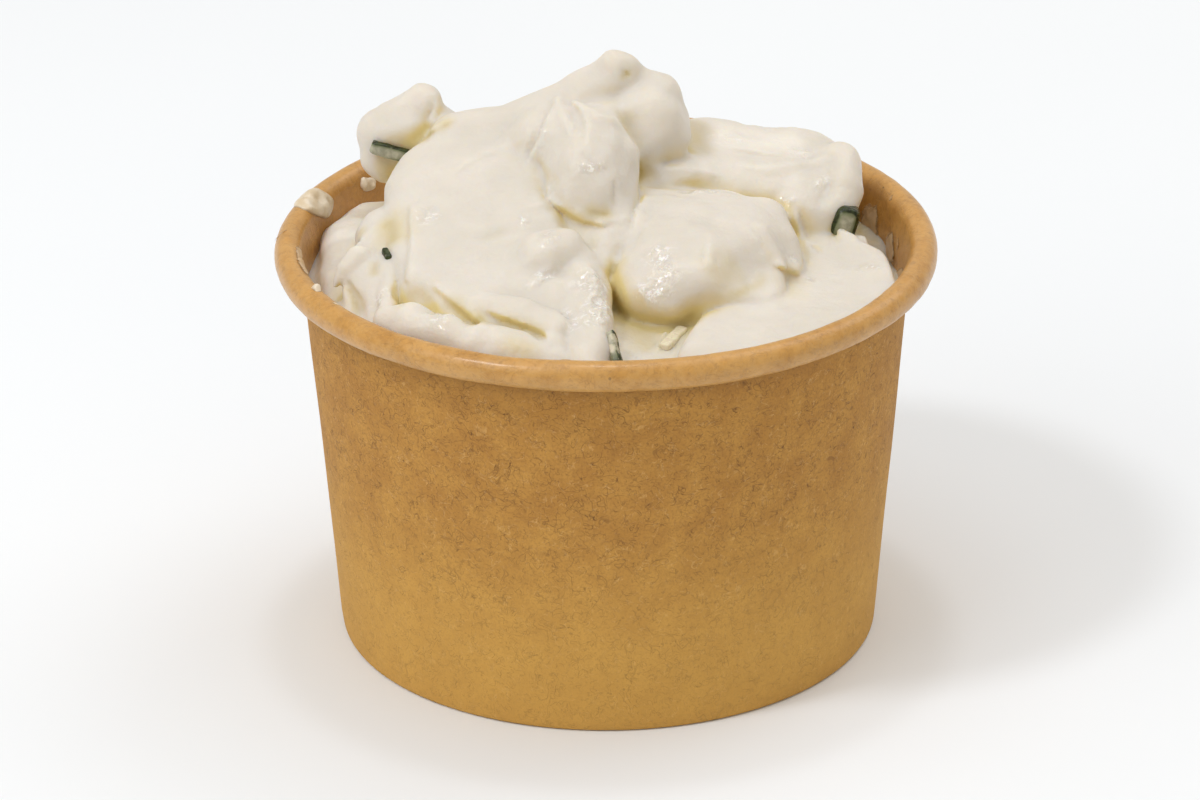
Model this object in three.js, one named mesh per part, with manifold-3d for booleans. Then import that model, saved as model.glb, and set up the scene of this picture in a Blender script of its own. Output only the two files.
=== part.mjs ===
// A kraft paper tub heaped with tzatziki: thick strained yogurt with pieces of cucumber.
// Millimetres, +Z up. The origin is the centre of the tub's foot, on the surface that it stands on.

import * as THREE from 'three';
import { mergeVertices } from 'three/addons/utils/BufferGeometryUtils.js';
import Module from 'manifold-3d';

const wasm = await Module();
wasm.setup();

// ---- Driving dimensions ----------------------------------------------------------------------

const TUB_HEIGHT = 62;            // foot to the top of the rolled rim
const RIM_RADIUS = 49;            // outside of the rolled rim
const BASE_RADIUS = 40.3;         // outside of the wall at the foot
const WALL_LEAN = 5 / 62;         // how far the wall leans out for each millimetre up
const PAPER = 0.45;               // thickness of the coated paperboard
const GAP = 0.3;                  // room between two pieces that touch
const ROLL_WIDTH = 4.1;           // the rolled rim, across
const ROLL_HEIGHT = 4.4;          // and from top to bottom
const HEM_HEIGHT = 5.2;           // the foot's turned-in hem
const FLOOR_HEIGHT = 6.2;         // underside of the base disc
const AROUND = 60;                // facets round the tub

const CELL = 2.0;                 // grid that the heap's surface is worked out on
const HEAP_TOP = 28;              // room above the rim for the heap
const FILL_DEPTH = 8;             // the level fill under the heap, below the rim's top
const CUCUMBER_EDGE = 0.35;       // softened edges of a cut piece of cucumber

const kraft = new THREE.MeshStandardMaterial({ color: 0xb98d55, roughness: 0.85, metalness: 0 });
const kraftInside = new THREE.MeshStandardMaterial({ color: 0xb87f38, roughness: 0.6, metalness: 0 });
const yogurt = new THREE.MeshStandardMaterial({ color: 0xe9e3d3, roughness: 0.35, metalness: 0 });
const cucumber = new THREE.MeshStandardMaterial({ color: 0x4f6b3c, roughness: 0.4, metalness: 0 });

// ---- Solids ----------------------------------------------------------------------------------

// Only positions are kept, so that vertices at one place become one, and faces that shrink to a
// line on the axis of a turned piece are dropped.
function welded(geometry) {
  const bare = geometry.clone();
  bare.deleteAttribute('normal');
  bare.deleteAttribute('uv');
  const merged = mergeVertices(bare, 1e-4);
  const faces = [];
  const { array } = merged.index;
  for (let i = 0; i < array.length; i += 3) {
    const [a, b, c] = array.slice(i, i + 3);
    if (a !== b && b !== c && c !== a) faces.push(a, b, c);
  }
  merged.setIndex(faces);
  return merged;
}

function toManifold(geometry) {
  const mesh = welded(geometry);
  return new wasm.Manifold(new wasm.Mesh({
    numProp: 3,
    vertProperties: new Float32Array(mesh.attributes.position.array),
    triVerts: new Uint32Array(mesh.index.array),
  }));
}

function fromManifold(solid) {
  const mesh = solid.getMesh();
  const geometry = new THREE.BufferGeometry();
  geometry.setAttribute('position', new THREE.BufferAttribute(mesh.vertProperties, 3));
  geometry.setIndex(new THREE.BufferAttribute(mesh.triVerts, 1));
  return geometry;
}

// A profile of [radius, height] points turned about the Z axis.
function turned(profile) {
  const points = profile.map(([radius, height]) => new THREE.Vector2(radius, height));
  return welded(new THREE.LatheGeometry(points, AROUND).rotateX(Math.PI / 2));
}

function asMesh(name, geometry, material) {
  const mesh = new THREE.Mesh(geometry, material);
  mesh.name = name;
  return mesh;
}

// The wall's outer face at a height, less a distance measured inwards.
function wallRadius(height, inwards = 0) {
  return BASE_RADIUS + WALL_LEAN * height - inwards;
}

// ---- Tub wall: one wrapped sheet, hemmed at the foot and rolled outwards at the rim -----------

// The outline of a strip of paper that follows a path through the middle of its thickness.
function paperStrip(path) {
  const sides = [-1, 1].map((side) => path.map(([x, y], i) => {
    const before = path[Math.max(i - 1, 0)];
    const after = path[Math.min(i + 1, path.length - 1)];
    const arrive = new THREE.Vector2(x - before[0], y - before[1]);
    const leave = new THREE.Vector2(after[0] - x, after[1] - y);
    if (i === 0) arrive.copy(leave);
    if (i === path.length - 1) leave.copy(arrive);
    arrive.normalize();
    leave.normalize();
    const mitre = arrive.clone().add(leave).normalize();
    const reach = (side * PAPER) / 2 / mitre.dot(leave);
    return [x - mitre.y * reach, y + mitre.x * reach];
  }));
  const outline = [...sides[0], ...sides[1].reverse()];
  return [...outline, outline[0]];
}

function tubWall() {
  const half = PAPER / 2;
  const hemDepth = half + 2 * (PAPER + GAP);
  const rollX = RIM_RADIUS - ROLL_WIDTH / 2;
  const rollZ = TUB_HEIGHT - ROLL_HEIGHT / 2;
  const path = [
    [wallRadius(HEM_HEIGHT, hemDepth), HEM_HEIGHT],
    [wallRadius(half, hemDepth), half],
    [wallRadius(half, half), half],
    [wallRadius(rollZ - 1, half), rollZ - 1],
  ];
  const turn = Math.PI / 4;
  for (let angle = Math.PI; angle > -Math.PI; angle -= turn) {
    path.push([
      rollX + (ROLL_WIDTH / 2 - half) * Math.cos(angle),
      rollZ + (ROLL_HEIGHT / 2 - half) * Math.sin(angle),
    ]);
  }
  return asMesh('paper_wall', turned(paperStrip(path)), kraft);
}

// ---- Base: a paper disc with its edge pressed down inside the hem -----------------------------

function tubBase() {
  const skirtOut = PAPER + GAP;
  const skirtIn = 2 * PAPER + GAP;
  const skirtFoot = PAPER + GAP;
  const top = FLOOR_HEIGHT + PAPER;
  return asMesh('paper_base', turned([
    [0, FLOOR_HEIGHT],
    [wallRadius(FLOOR_HEIGHT, skirtIn), FLOOR_HEIGHT],
    [wallRadius(skirtFoot, skirtIn), skirtFoot],
    [wallRadius(skirtFoot, skirtOut), skirtFoot],
    [wallRadius(top, skirtOut), top],
    [0, top],
  ]), kraftInside);
}

// ---- Cucumber: diced pieces with a band of skin along one long side, and a shred ---------------

// Sizes are [across, deep, long]. Long is how the long side points and skin is what the skin
// faces. Places are counted from the middle of the rim's top, as the spoonfuls' are.
const cucumberPieces = [
  {
    name: 'cucumber_back',
    size: [2.4, 1.9, 7.6], at: [-31.2, 13.0, 7.8], long: [1, -0.12, -0.24], skin: [0.3, 0.1, 1],
  },
  {
    name: 'cucumber_right',
    size: [3.8, 4.9, 6.0], at: [35.5, 6.2, -0.9], long: [0, -1, 0.1], skin: [0.3, 0, 1],
  },
  {
    name: 'cucumber_front',
    size: [1.7, 1.3, 6.4], at: [1.1, -36.8, -2.8], long: [-0.2, 0.8, 0.6], skin: [0.9, -0.2, 0.2],
  },
  {
    name: 'cucumber_left',
    size: [1.0, 2.2, 3.4], at: [-32.1, -13.6, 1.6], long: [0.16, -0.3, 1], skin: [0.4, -1, 0],
  },
  {
    name: 'cucumber_shred',
    size: [1.8, 1.2, 7.4], at: [9.6, -27.6, -4.9], long: [-0.44, -1, 0.0], skin: [0, 0, -1],
  },
];

function cucumberSolid({ size, at, long, skin }, grow = 0) {
  const [across, deep, length] = size;
  const skinRise = 0.2;
  const x = across / 2 - CUCUMBER_EDGE;
  const y = deep / 2 - CUCUMBER_EDGE;
  const outline = new THREE.Shape();
  outline.moveTo(-x, -y);
  outline.lineTo(x, -y);
  outline.lineTo(x, y - skinRise);
  outline.quadraticCurveTo(0, y + skinRise, -x, y - skinRise);
  outline.closePath();
  const geometry = new THREE.ExtrudeGeometry(outline, {
    depth: length - 2 * CUCUMBER_EDGE,
    bevelEnabled: true,
    bevelSize: CUCUMBER_EDGE,
    bevelThickness: CUCUMBER_EDGE,
    bevelSegments: 2,
    curveSegments: 4,
  });
  geometry.translate(0, 0, CUCUMBER_EDGE - length / 2);
  geometry.scale(...size.map((side) => (side + 2 * grow) / side));
  const along = new THREE.Vector3(...long).normalize();
  const out = new THREE.Vector3(...skin).projectOnPlane(along).normalize();
  const sideways = out.clone().cross(along);
  const placed = new THREE.Matrix4().makeBasis(sideways, out, along);
  placed.setPosition(at[0], at[1], at[2] + TUB_HEIGHT);
  return welded(geometry.applyMatrix4(placed));
}

// ---- Tzatziki: spoonfuls heaped into the tub --------------------------------------------------

// Each form gives the distance from a point to its surface, negative inside. Places are in
// millimetres from the middle of the rim's top: x to the right, y to the back, z up. Turn, lean
// and roll are in degrees about Z, X and Y. Blend is how far the spoonful melts into the rest.

function localPoint(form) {
  const { at, turn = 0, lean = 0, roll = 0 } = form;
  const angles = [lean, roll, turn].map(THREE.MathUtils.degToRad);
  const toWorld = new THREE.Matrix4().makeRotationFromEuler(new THREE.Euler(...angles, 'ZXY'));
  toWorld.setPosition(at[0], at[1], at[2]);
  const toLocal = toWorld.invert();
  return (point) => point.clone().applyMatrix4(toLocal);
}

// A spoonful that is round every way.
function dollop(form) {
  const [a, b, c] = form.size;
  const local = localPoint(form);
  return (point) => {
    const q = local(point);
    const reach = Math.hypot(q.x / a, q.y / b, q.z / c);
    const slope = Math.hypot(q.x / a ** 2, q.y / b ** 2, q.z / c ** 2);
    return (reach * (reach - 1)) / Math.max(slope, 1e-9);
  };
}

// A spoonful with flatter sides. The higher the squareness, the flatter they are.
function slab(form) {
  const [a, b, c] = form.size;
  const { square } = form;
  const local = localPoint(form);
  return (point) => {
    const q = local(point);
    const s = [Math.abs(q.x) / a, Math.abs(q.y) / b, Math.abs(q.z) / c];
    const reach = Math.max((s[0] ** square + s[1] ** square + s[2] ** square) ** (1 / square), 1e-9);
    const n = s.map((share) => (share / reach) ** (square - 1));
    return (reach - 1) / Math.max(Math.hypot(n[0] / a, n[1] / b, n[2] / c), 1e-6);
  };
}

// A drawn-out spoonful that runs through a few points and tapers.
function tongue({ points, radii }) {
  const knots = points.map((knot) => new THREE.Vector3(...knot));
  return (point) => {
    let nearest = Infinity;
    for (let i = 0; i + 1 < knots.length; i += 1) {
      const along = knots[i + 1].clone().sub(knots[i]);
      const from = point.clone().sub(knots[i]);
      const share = THREE.MathUtils.clamp(from.dot(along) / along.lengthSq(), 0, 1);
      const radius = THREE.MathUtils.lerp(radii[i], radii[i + 1], share);
      nearest = Math.min(nearest, from.addScaledVector(along, -share).length() - radius);
    }
    return nearest;
  };
}

const spoonfuls = [
  // what fills the tub up to its rim
  { form: slab, at: [0, -18, -13.8], size: [47, 34, 8.6], square: 5, blend: 2 },
  { form: dollop, at: [-4, 24, -13], size: [34, 21, 7.6], blend: 3 },
  { form: dollop, at: [-14, -26, -12], size: [22, 19, 9.6], blend: 3 },
  { form: slab, at: [-4, 4, -6], size: [26, 21, 13], square: 2.6, blend: 4 },
  { form: dollop, at: [24, 3, -5], size: [5, 6, 4.6], blend: 1 },
  { form: dollop, at: [-32.6, -23.6, -5.6], size: [4, 6, 3.4], blend: 1 },
  // the smooth bank at the left, just clear of the wall
  { form: slab, at: [-31.8, 3, -11], size: [11.2, 24, 7.4], lean: 1, square: 4.5, blend: 1 },
  { form: dollop, at: [-37.4, -18.5, -5], size: [3, 4.5, 2.2], blend: 0.6 },
  // the smooth bank at the right, which climbs to a point beside the wall
  { form: slab, at: [32.4, -19, -10.3], size: [16, 26, 8.2], turn: -19, square: 8, blend: 0.5 },
  {
    form: tongue,
    points: [[39.6, -11, -6], [37.6, -3, -4.4], [35.1, 2.2, -1.3]],
    radii: [4.2, 3.2, 0.6],
    blend: 1.2,
  },
  // the big sloping slab at the left and its crest
  {
    form: slab, at: [-19, -4.5, 0.6], size: [13.8, 20, 8], lean: 18, roll: -8, square: 3.4,
    blend: 1.2,
  },
  {
    form: tongue,
    points: [[-22, 13, 9.8], [-15, 13, 11.4], [-8.4, 13, 13.9], [-3.9, 13, 15.2]],
    radii: [4, 4, 4, 4],
    blend: 2.5,
  },
  { form: dollop, at: [-8.4, -15.5, 2.4], size: [5.6, 6.4, 4.8], blend: 0.8 },
  { form: slab, at: [-15, -19, -3.2], size: [12.4, 11, 7.2], lean: 17, square: 3, blend: 1.2 },
  { form: dollop, at: [-3.4, -21.6, -0.8], size: [4, 4.6, 4.4], blend: 0.8 },
  // the fold that hangs from the peak
  { form: dollop, at: [-2.4, 0.4, 9.4], size: [7, 11.4, 6.2], lean: 36, blend: 1 },
  {
    form: tongue,
    points: [[0, 8, 14], [1.6, 3, 10.6], [1.6, -4, 6], [-0.4, -13, 1.2], [-2.4, -18.6, -0.6]],
    radii: [3.4, 2.9, 2.9, 2.6, 2.4],
    blend: 1,
  },
  // the peak and the lobe beside it
  { form: dollop, at: [0, 16, 8], size: [11, 9, 11], blend: 3 },
  { form: dollop, at: [-8.6, 7, 13.4], size: [5.4, 5, 3.8], blend: 3 },
  { form: tongue, points: [[-2.4, 13.4, 16], [1.3, 13, 20.7]], radii: [4.4, 3], blend: 1.5 },
  {
    form: tongue,
    points: [[1.5, 13.6, 19.6], [5, 13.6, 17.8], [8, 13.6, 17]],
    radii: [3, 2.6, 2.6],
    blend: 1,
  },
  { form: slab, at: [6.5, 12, 13.4], size: [5.1, 6, 6.2], roll: -24, square: 2.9, blend: 1.5 },
  { form: dollop, at: [9.2, 9.6, 5], size: [7, 5.6, 4], blend: 1.5 },
  // the spur that runs down to the front of the rim
  {
    form: tongue,
    points: [[-4.5, -17, 0.2], [-2.9, -24, -1.6], [-2.5, -31, -3], [-2.8, -41, -5.3]],
    radii: [4.2, 3.8, 3.6, 3.3],
    blend: 0.8,
  },
  // rolls along the rim at the front left, and the lips that lap over them
  {
    form: tongue,
    points: [[-31.6, -26.6, -2.8], [-28, -29.6, -2.2], [-25, -31.4, -2.4], [-19.5, -34, -3.4]],
    radii: [2.8, 3.7, 3.4, 3.4],
    blend: 0.6,
  },
  { form: dollop, at: [-22.4, -33, -1.2], size: [3.6, 2.8, 2.6], turn: -30, blend: 0.8 },
  {
    form: tongue,
    points: [[-18, -35, -3], [-12.5, -36.8, -3.4], [-8, -38, -4.4]],
    radii: [3.6, 3.7, 3.4],
    blend: 0.6,
  },
  {
    form: tongue,
    points: [[-27, -18.6, -0.2], [-22, -24.6, -0.2], [-17, -28.2, -0.8]],
    radii: [2.6, 3.0, 2.8],
    blend: 1.2,
  },
  {
    form: tongue,
    points: [[-18, -27.5, -0.6], [-12.5, -30, -0.9], [-8, -33, -2.2]],
    radii: [3, 3.2, 2.6],
    blend: 0.8,
  },
  {
    form: tongue,
    points: [[-26, -22.5, -3.2], [-21, -27, -3.2], [-17, -30, -3.6]],
    radii: [2.4, 2.7, 2.6],
    blend: 1.5,
  },
  {
    form: tongue,
    points: [[-17, -30.5, -3.4], [-12, -33, -3.8], [-8, -35.4, -4.6]],
    radii: [2.6, 2.7, 2.6],
    blend: 1.5,
  },
  // the torn pieces at the left
  {
    form: slab, at: [-32.2, -4.6, -0.6], size: [4.8, 7.4, 4.8], roll: -14, square: 2.6,
    blend: 0.5,
  },
  {
    form: slab, at: [-35.3, -15.8, -1.2], size: [3.4, 9.6, 1.5], lean: 21, roll: -24, turn: -4,
    square: 2.8,
    blend: 0.5,
  },
  {
    form: tongue,
    points: [[-36.2, -12, 1], [-37.8, -13.4, 0], [-39.6, -15, -1.8]],
    radii: [1.8, 1.3, 0.4],
    blend: 0.6,
  },
  {
    form: tongue,
    points: [[-31.8, -13.6, 0.4], [-32.2, -20, -1.4], [-32.3, -27, -3.2]],
    radii: [1.7, 1.6, 1.5],
    blend: 0.4,
  },
  // the knob at the back left, over a piece of cucumber
  { form: slab, at: [-30.4, 18, 7.8], size: [6.2, 5.4, 5.2], roll: -20, square: 2.6, blend: 1 },
  { form: tongue, points: [[-30.2, 18, 11], [-26.8, 18, 14.2]], radii: [3.6, 2.5], blend: 1 },
  { form: tongue, points: [[-27, 18, 12], [-22.6, 17.5, 9.6]], radii: [3, 2.4], blend: 1 },
  { form: dollop, at: [-33.2, 16, 5.6], size: [3.4, 3.6, 3.2], blend: 0.6 },
  { form: dollop, at: [-26, 20, 4], size: [7.5, 7, 7], blend: 2 },
  // the flat-topped block at the back right
  {
    form: slab, at: [21, 17, -1.3], size: [16.4, 10.4, 9.6], lean: 13, roll: 8.5, square: 3.2,
    blend: 2,
  },
  {
    form: tongue,
    points: [[35.2, 15, 4.4], [34.8, 10, 2.2], [34.2, 7.2, 0.6]],
    radii: [3.4, 3.6, 3.4],
    blend: 2,
  },
  { form: slab, at: [30, 12, -2.6], size: [6.4, 9, 7.4], square: 2.6, blend: 1 },
  // the round mound in the middle right, and the drip beside it
  {
    form: slab, at: [14.6, -8.4, -1.6], size: [10.8, 15.2, 7.5], turn: 8, lean: 4, square: 3.6,
    blend: 0.5,
  },
  { form: dollop, at: [8.4, 1.6, 1.6], size: [5, 5, 3.8], blend: 1.5 },
  { form: dollop, at: [8.4, -16, -1.4], size: [7.6, 9.8, 5.4], blend: 1.5 },
  { form: dollop, at: [21, -5.6, -1], size: [7, 9.6, 6.2], blend: 2 },
  { form: dollop, at: [11, -13.4, -6.4], size: [10.4, 9.4, 4], blend: 2 },
  {
    form: tongue,
    points: [[9, -17.5, -1.4], [4, -18, -1.8], [0.8, -17.6, -1.8]],
    radii: [3.4, 2.2, 1.6],
    blend: 0.8,
  },
  {
    form: tongue,
    points: [[23.4, 1, 1.2], [25.4, -5, -0.2], [27, -10.6, -2]],
    radii: [4, 3.4, 1.8],
    blend: 1.6,
  },
];

// Hollows left by the spoon, beside the wall and over the recess at the front.
const hollows = [
  {
    form: tongue,
    points: [[-41.8, -20.4, -3], [-44.6, -12, -3], [-45.6, 0, -3], [-44.4, 12, -3], [-38.4, 25, -3]],
    radii: [2.2, 3.1, 3.2, 2.6, 2],
    blend: 0.8,
  },
  {
    form: tongue,
    points: [[41, 16, -2], [43, 10, -5], [43.4, 2, -4.4], [44.6, -6, -3], [45, -14, -2]],
    radii: [4, 4.8, 4.5, 3.5, 2.9],
    blend: 1,
  },
  { form: dollop, at: [23.4, -23, 7], size: [7.6, 10, 8.8], blend: 3 },
  {
    form: tongue,
    points: [[-37.8, -16, -1], [-36.6, -21, -1.6], [-35.2, -27, -2]],
    radii: [0.6, 1.2, 0.9],
    blend: 0.4,
  },
];

// The lesser of two distances, rounded where they cross.
function softMin(a, b, blend) {
  const overlap = Math.max(blend - Math.abs(a - b), 0);
  return Math.min(a, b) - (overlap * overlap) / (4 * blend);
}

// Smooth noise from -1 to 1, from values drawn at the corners of a lattice.
function drawn(x, y, z, seed) {
  const value = Math.sin(x * 127.1 + y * 311.7 + z * 74.7 + seed * 53.3) * 43758.5453;
  return 2 * (value - Math.floor(value)) - 1;
}

function noise(point, cell, seed) {
  const base = [point.x, point.y, point.z].map((side) => Math.floor(side / cell));
  const share = [point.x, point.y, point.z].map((side, i) => {
    const t = side / cell - base[i];
    return t * t * t * (t * (t * 6 - 15) + 10);
  });
  let total = 0;
  for (let corner = 0; corner < 8; corner += 1) {
    const step = [corner & 1, (corner >> 1) & 1, corner >> 2];
    const weight = share.reduce((product, s, i) => product * (step[i] ? s : 1 - s), 1);
    total += weight * drawn(base[0] + step[0], base[1] + step[1], base[2] + step[2], seed);
  }
  return total;
}

// The spoonfuls are pushed about a little, so that none keeps a ruled shape.
function uneven(point) {
  const broad = { size: 11, push: 0.7, seed: 1 };
  const fine = { size: 4.5, push: 0.3, seed: 11 };
  const moved = ['x', 'y', 'z'].map((axis, i) => point[axis]
    + broad.push * noise(point, broad.size, broad.seed + i)
    + fine.push * noise(point, fine.size, fine.seed + i));
  return new THREE.Vector3(...moved);
}

function heapDistance() {
  const added = spoonfuls.map((spoonful) => [spoonful.form(spoonful), spoonful.blend]);
  const cut = hollows.map((hollow) => [hollow.form(hollow), hollow.blend]);
  return (point) => {
    const moved = uneven(point);
    moved.z -= TUB_HEIGHT;
    let distance = moved.z + FILL_DEPTH;
    added.forEach(([form, blend]) => { distance = softMin(distance, form(moved), blend); });
    cut.forEach(([form, blend]) => { distance = -softMin(-distance, form(moved), blend); });
    return distance;
  };
}

// Where two opposite corners of a grid square are inside and the other two are out, the surface
// would pinch to a line there, so one of the outer corners is filled.
function fillPinches(values, steps) {
  const filled = -CELL / 10;
  let pinches = 1;
  while (pinches > 0) {
    pinches = 0;
    for (let here = 0; here < values.length; here += 1) {
      for (let axis = 0; axis < 3; axis += 1) {
        const u = steps[axis];
        const v = steps[(axis + 1) % 3];
        const ring = [here, here + u, here + u + v, here + v];
        const [a, b, c, d] = ring.map((corner) => values[corner] < 0);
        if (a === c && b === d && a !== b) {
          values[a ? ring[1] : ring[0]] = filled;
          pinches += 1;
        }
      }
    }
  }
}

// Surface nets: one vertex in each grid cell that the surface passes through, and one four-sided
// face round each grid edge that crosses it.
function surfaceNet(distance, low, counts) {
  const [nx, ny, nz] = counts;
  const index = (i, j, k) => i + nx * (j + ny * k);
  const values = new Float64Array(nx * ny * nz);
  for (let k = 0; k < nz; k += 1) {
    for (let j = 0; j < ny; j += 1) {
      for (let i = 0; i < nx; i += 1) {
        const edge = i === 0 || j === 0 || k === 0 || i === nx - 1 || j === ny - 1 || k === nz - 1;
        const point = new THREE.Vector3(low.x + i * CELL, low.y + j * CELL, low.z + k * CELL);
        values[index(i, j, k)] = edge ? CELL / 2 : distance(point);
      }
    }
  }
  const steps = [index(1, 0, 0), index(0, 1, 0), index(0, 0, 1)];
  fillPinches(values, steps);
  const corners = [0, 1, 2, 3, 4, 5, 6, 7].map((c) => [c & 1, (c >> 1) & 1, c >> 2]);
  const edges = [];
  corners.forEach((a, m) => corners.forEach((b, n) => {
    if (m < n && Math.abs(a[0] - b[0]) + Math.abs(a[1] - b[1]) + Math.abs(a[2] - b[2]) === 1) {
      edges.push([a, b]);
    }
  }));
  const positions = [];
  const vertexOf = new Int32Array(nx * ny * nz).fill(-1);
  for (let k = 0; k < nz - 1; k += 1) {
    for (let j = 0; j < ny - 1; j += 1) {
      for (let i = 0; i < nx - 1; i += 1) {
        const sum = [0, 0, 0];
        let crossings = 0;
        edges.forEach(([a, b]) => {
          const va = values[index(i + a[0], j + a[1], k + a[2])];
          const vb = values[index(i + b[0], j + b[1], k + b[2])];
          if ((va < 0) === (vb < 0)) return;
          crossings += 1;
          a.forEach((start, axis) => { sum[axis] += start + ((b[axis] - start) * va) / (va - vb); });
        });
        if (crossings > 0) {
          vertexOf[index(i, j, k)] = positions.length / 3;
          positions.push(
            low.x + (i + sum[0] / crossings) * CELL,
            low.y + (j + sum[1] / crossings) * CELL,
            low.z + (k + sum[2] / crossings) * CELL,
          );
        }
      }
    }
  }
  const faces = [];
  for (let k = 0; k < nz - 1; k += 1) {
    for (let j = 0; j < ny - 1; j += 1) {
      for (let i = 0; i < nx - 1; i += 1) {
        const here = index(i, j, k);
        steps.forEach((step, axis) => {
          const inside = values[here] < 0;
          if (inside === (values[here + step] < 0)) return;
          const u = steps[(axis + 1) % 3];
          const v = steps[(axis + 2) % 3];
          const ring = [here, here - u, here - u - v, here - v].map((cell) => vertexOf[cell]);
          if (!inside) ring.reverse();
          faces.push(ring[0], ring[1], ring[2], ring[0], ring[2], ring[3]);
        });
      }
    }
  }
  const geometry = new THREE.BufferGeometry();
  geometry.setAttribute('position', new THREE.BufferAttribute(new Float32Array(positions), 3));
  geometry.setIndex(new THREE.BufferAttribute(new Uint32Array(faces), 1));
  return geometry;
}

// The room inside the tub: the wall's inner face, less the gap, carried on up past the rim.
function tubRoom() {
  const floor = FLOOR_HEIGHT + PAPER + GAP;
  const top = TUB_HEIGHT + HEAP_TOP;
  const inwards = PAPER + GAP;
  return turned([
    [0, floor],
    [wallRadius(floor, inwards), floor],
    [wallRadius(top, inwards), top],
    [0, top],
  ]);
}

function tzatziki() {
  const reach = RIM_RADIUS;
  const low = new THREE.Vector3(-reach, -reach, 0);
  const across = Math.ceil((2 * reach) / CELL) + 1;
  const up = Math.ceil((TUB_HEIGHT + HEAP_TOP) / CELL) + 1;
  const heap = toManifold(surfaceNet(heapDistance(), low, [across, across, up]));
  let solid = heap.intersect(toManifold(tubRoom()));
  cucumberPieces.forEach((piece) => {
    solid = solid.subtract(toManifold(cucumberSolid(piece, GAP)));
  });
  return asMesh('tzatziki', fromManifold(solid), yogurt);
}

// ---- The whole -------------------------------------------------------------------------------

const tub = new THREE.Group();
tub.add(tubWall(), tubBase(), tzatziki());
cucumberPieces.forEach((piece) => tub.add(asMesh(piece.name, cucumberSolid(piece), cucumber)));

export default tub;
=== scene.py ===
import math

import bmesh
import bpy
import numpy as np
from mathutils import Matrix, Vector


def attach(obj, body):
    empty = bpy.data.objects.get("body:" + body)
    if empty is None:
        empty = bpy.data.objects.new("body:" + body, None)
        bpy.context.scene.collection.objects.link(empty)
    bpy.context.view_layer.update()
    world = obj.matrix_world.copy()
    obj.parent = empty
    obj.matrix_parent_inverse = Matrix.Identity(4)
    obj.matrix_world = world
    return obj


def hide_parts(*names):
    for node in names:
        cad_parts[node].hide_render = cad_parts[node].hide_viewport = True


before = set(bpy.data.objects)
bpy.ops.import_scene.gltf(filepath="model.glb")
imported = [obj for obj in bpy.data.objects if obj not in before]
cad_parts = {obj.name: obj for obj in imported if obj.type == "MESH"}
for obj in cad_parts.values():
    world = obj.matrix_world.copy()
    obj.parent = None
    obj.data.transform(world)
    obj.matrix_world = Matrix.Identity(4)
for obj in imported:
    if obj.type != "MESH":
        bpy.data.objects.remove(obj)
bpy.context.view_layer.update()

MM = 0.001


# ---- Paper wall --------------------------------------------------------------------------------
# One sheet of kraft paperboard, wrapped into a cone and lapped down the back. Its foot is turned in
# to hem the base, and its top is rolled outwards into a rim, so that the inner, coated face shows on
# the roll and the cut edge ends under it.

TUB_HEIGHT = 62.0
RIM_RADIUS = 49.0
BASE_RADIUS = 40.3
WALL_LEAN = 5 / TUB_HEIGHT
PAPER = 0.45
GAP = 0.3
ROLL_WIDTH = 4.1
ROLL_HEIGHT = 4.4
ROLL_START = math.radians(180)
ROLL_TURNS = math.radians(322)
ROLL_TUCK = 0.16
HEM_HEIGHT = 5.2
FOLD_RADIUS = 0.5
LAP_WIDTH = 6.0
LAP_ANGLE = math.radians(97)
# the way round the sheet is measured at this radius
SHEET_RADIUS = 45.0


class Shade:
    """A socket in a material. Arithmetic on it adds Math nodes, and node() adds any other node."""

    def __init__(self, tree, socket=None):
        self.tree = tree
        self.socket = socket

    def node(self, kind, settings, sockets, out=0):
        made = self.tree.nodes.new("ShaderNode" + kind)
        for name, value in settings.items():
            setattr(made, name, value)
        for name, value in sockets.items():
            if isinstance(value, Shade):
                self.tree.links.new(value.socket, made.inputs[name])
            else:
                made.inputs[name].default_value = value
        return Shade(self.tree, made.outputs[out] if made.outputs else None)

    def maths(self, operation, *values):
        return self.node("Math", {"operation": operation}, dict(enumerate(values)))

    def __add__(self, other):
        return self.maths("ADD", self, other)

    __radd__ = __add__

    def __mul__(self, other):
        return self.maths("MULTIPLY", self, other)

    __rmul__ = __mul__

    def __sub__(self, other):
        return self.maths("SUBTRACT", self, other)

    def __rsub__(self, other):
        return self.maths("SUBTRACT", other, self)

    def __abs__(self):
        return self.maths("ABSOLUTE", self)

    def step(self, start, end):
        """0 up to start, 1 from end, smooth between."""
        settings = {"interpolation_type": "SMOOTHSTEP"}
        return self.node("MapRange", settings, {"Value": self, "From Min": start, "From Max": end})

    def mix(self, under, over):
        """The colour under, with the colour over laid on it as far as this socket says."""
        return self.node("Mix", {"data_type": "RGBA"}, {0: self, 6: under, 7: over}, out=2)

    def noise(self, size, detail=3.0, rough=0.5, warp=0.0, shift=0.0):
        """Cloudy values about 0.5. This socket is a place in millimetres, and size the clouds' width."""
        moved = self.node("VectorMath", {"operation": "ADD"}, {0: self, 1: (shift, 1.7 * shift, 2.3 * shift)})
        return self.node("TexNoise", {}, {
            "Vector": moved, "Scale": 1 / size, "Detail": detail, "Roughness": rough, "Distortion": warp,
        })


def rgb(red, green, blue):
    """A linear colour from one in the 0 to 255 steps of a screen."""
    shares = [step / 255 for step in (red, green, blue)]
    return (*(((c + 0.055) / 1.055) ** 2.4 if c > 0.04 else c / 12.92 for c in shares), 1.0)


def new_material(name):
    made = bpy.data.materials.new(name)
    made.use_nodes = True
    made.node_tree.nodes.clear()
    return made, Shade(made.node_tree)


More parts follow.
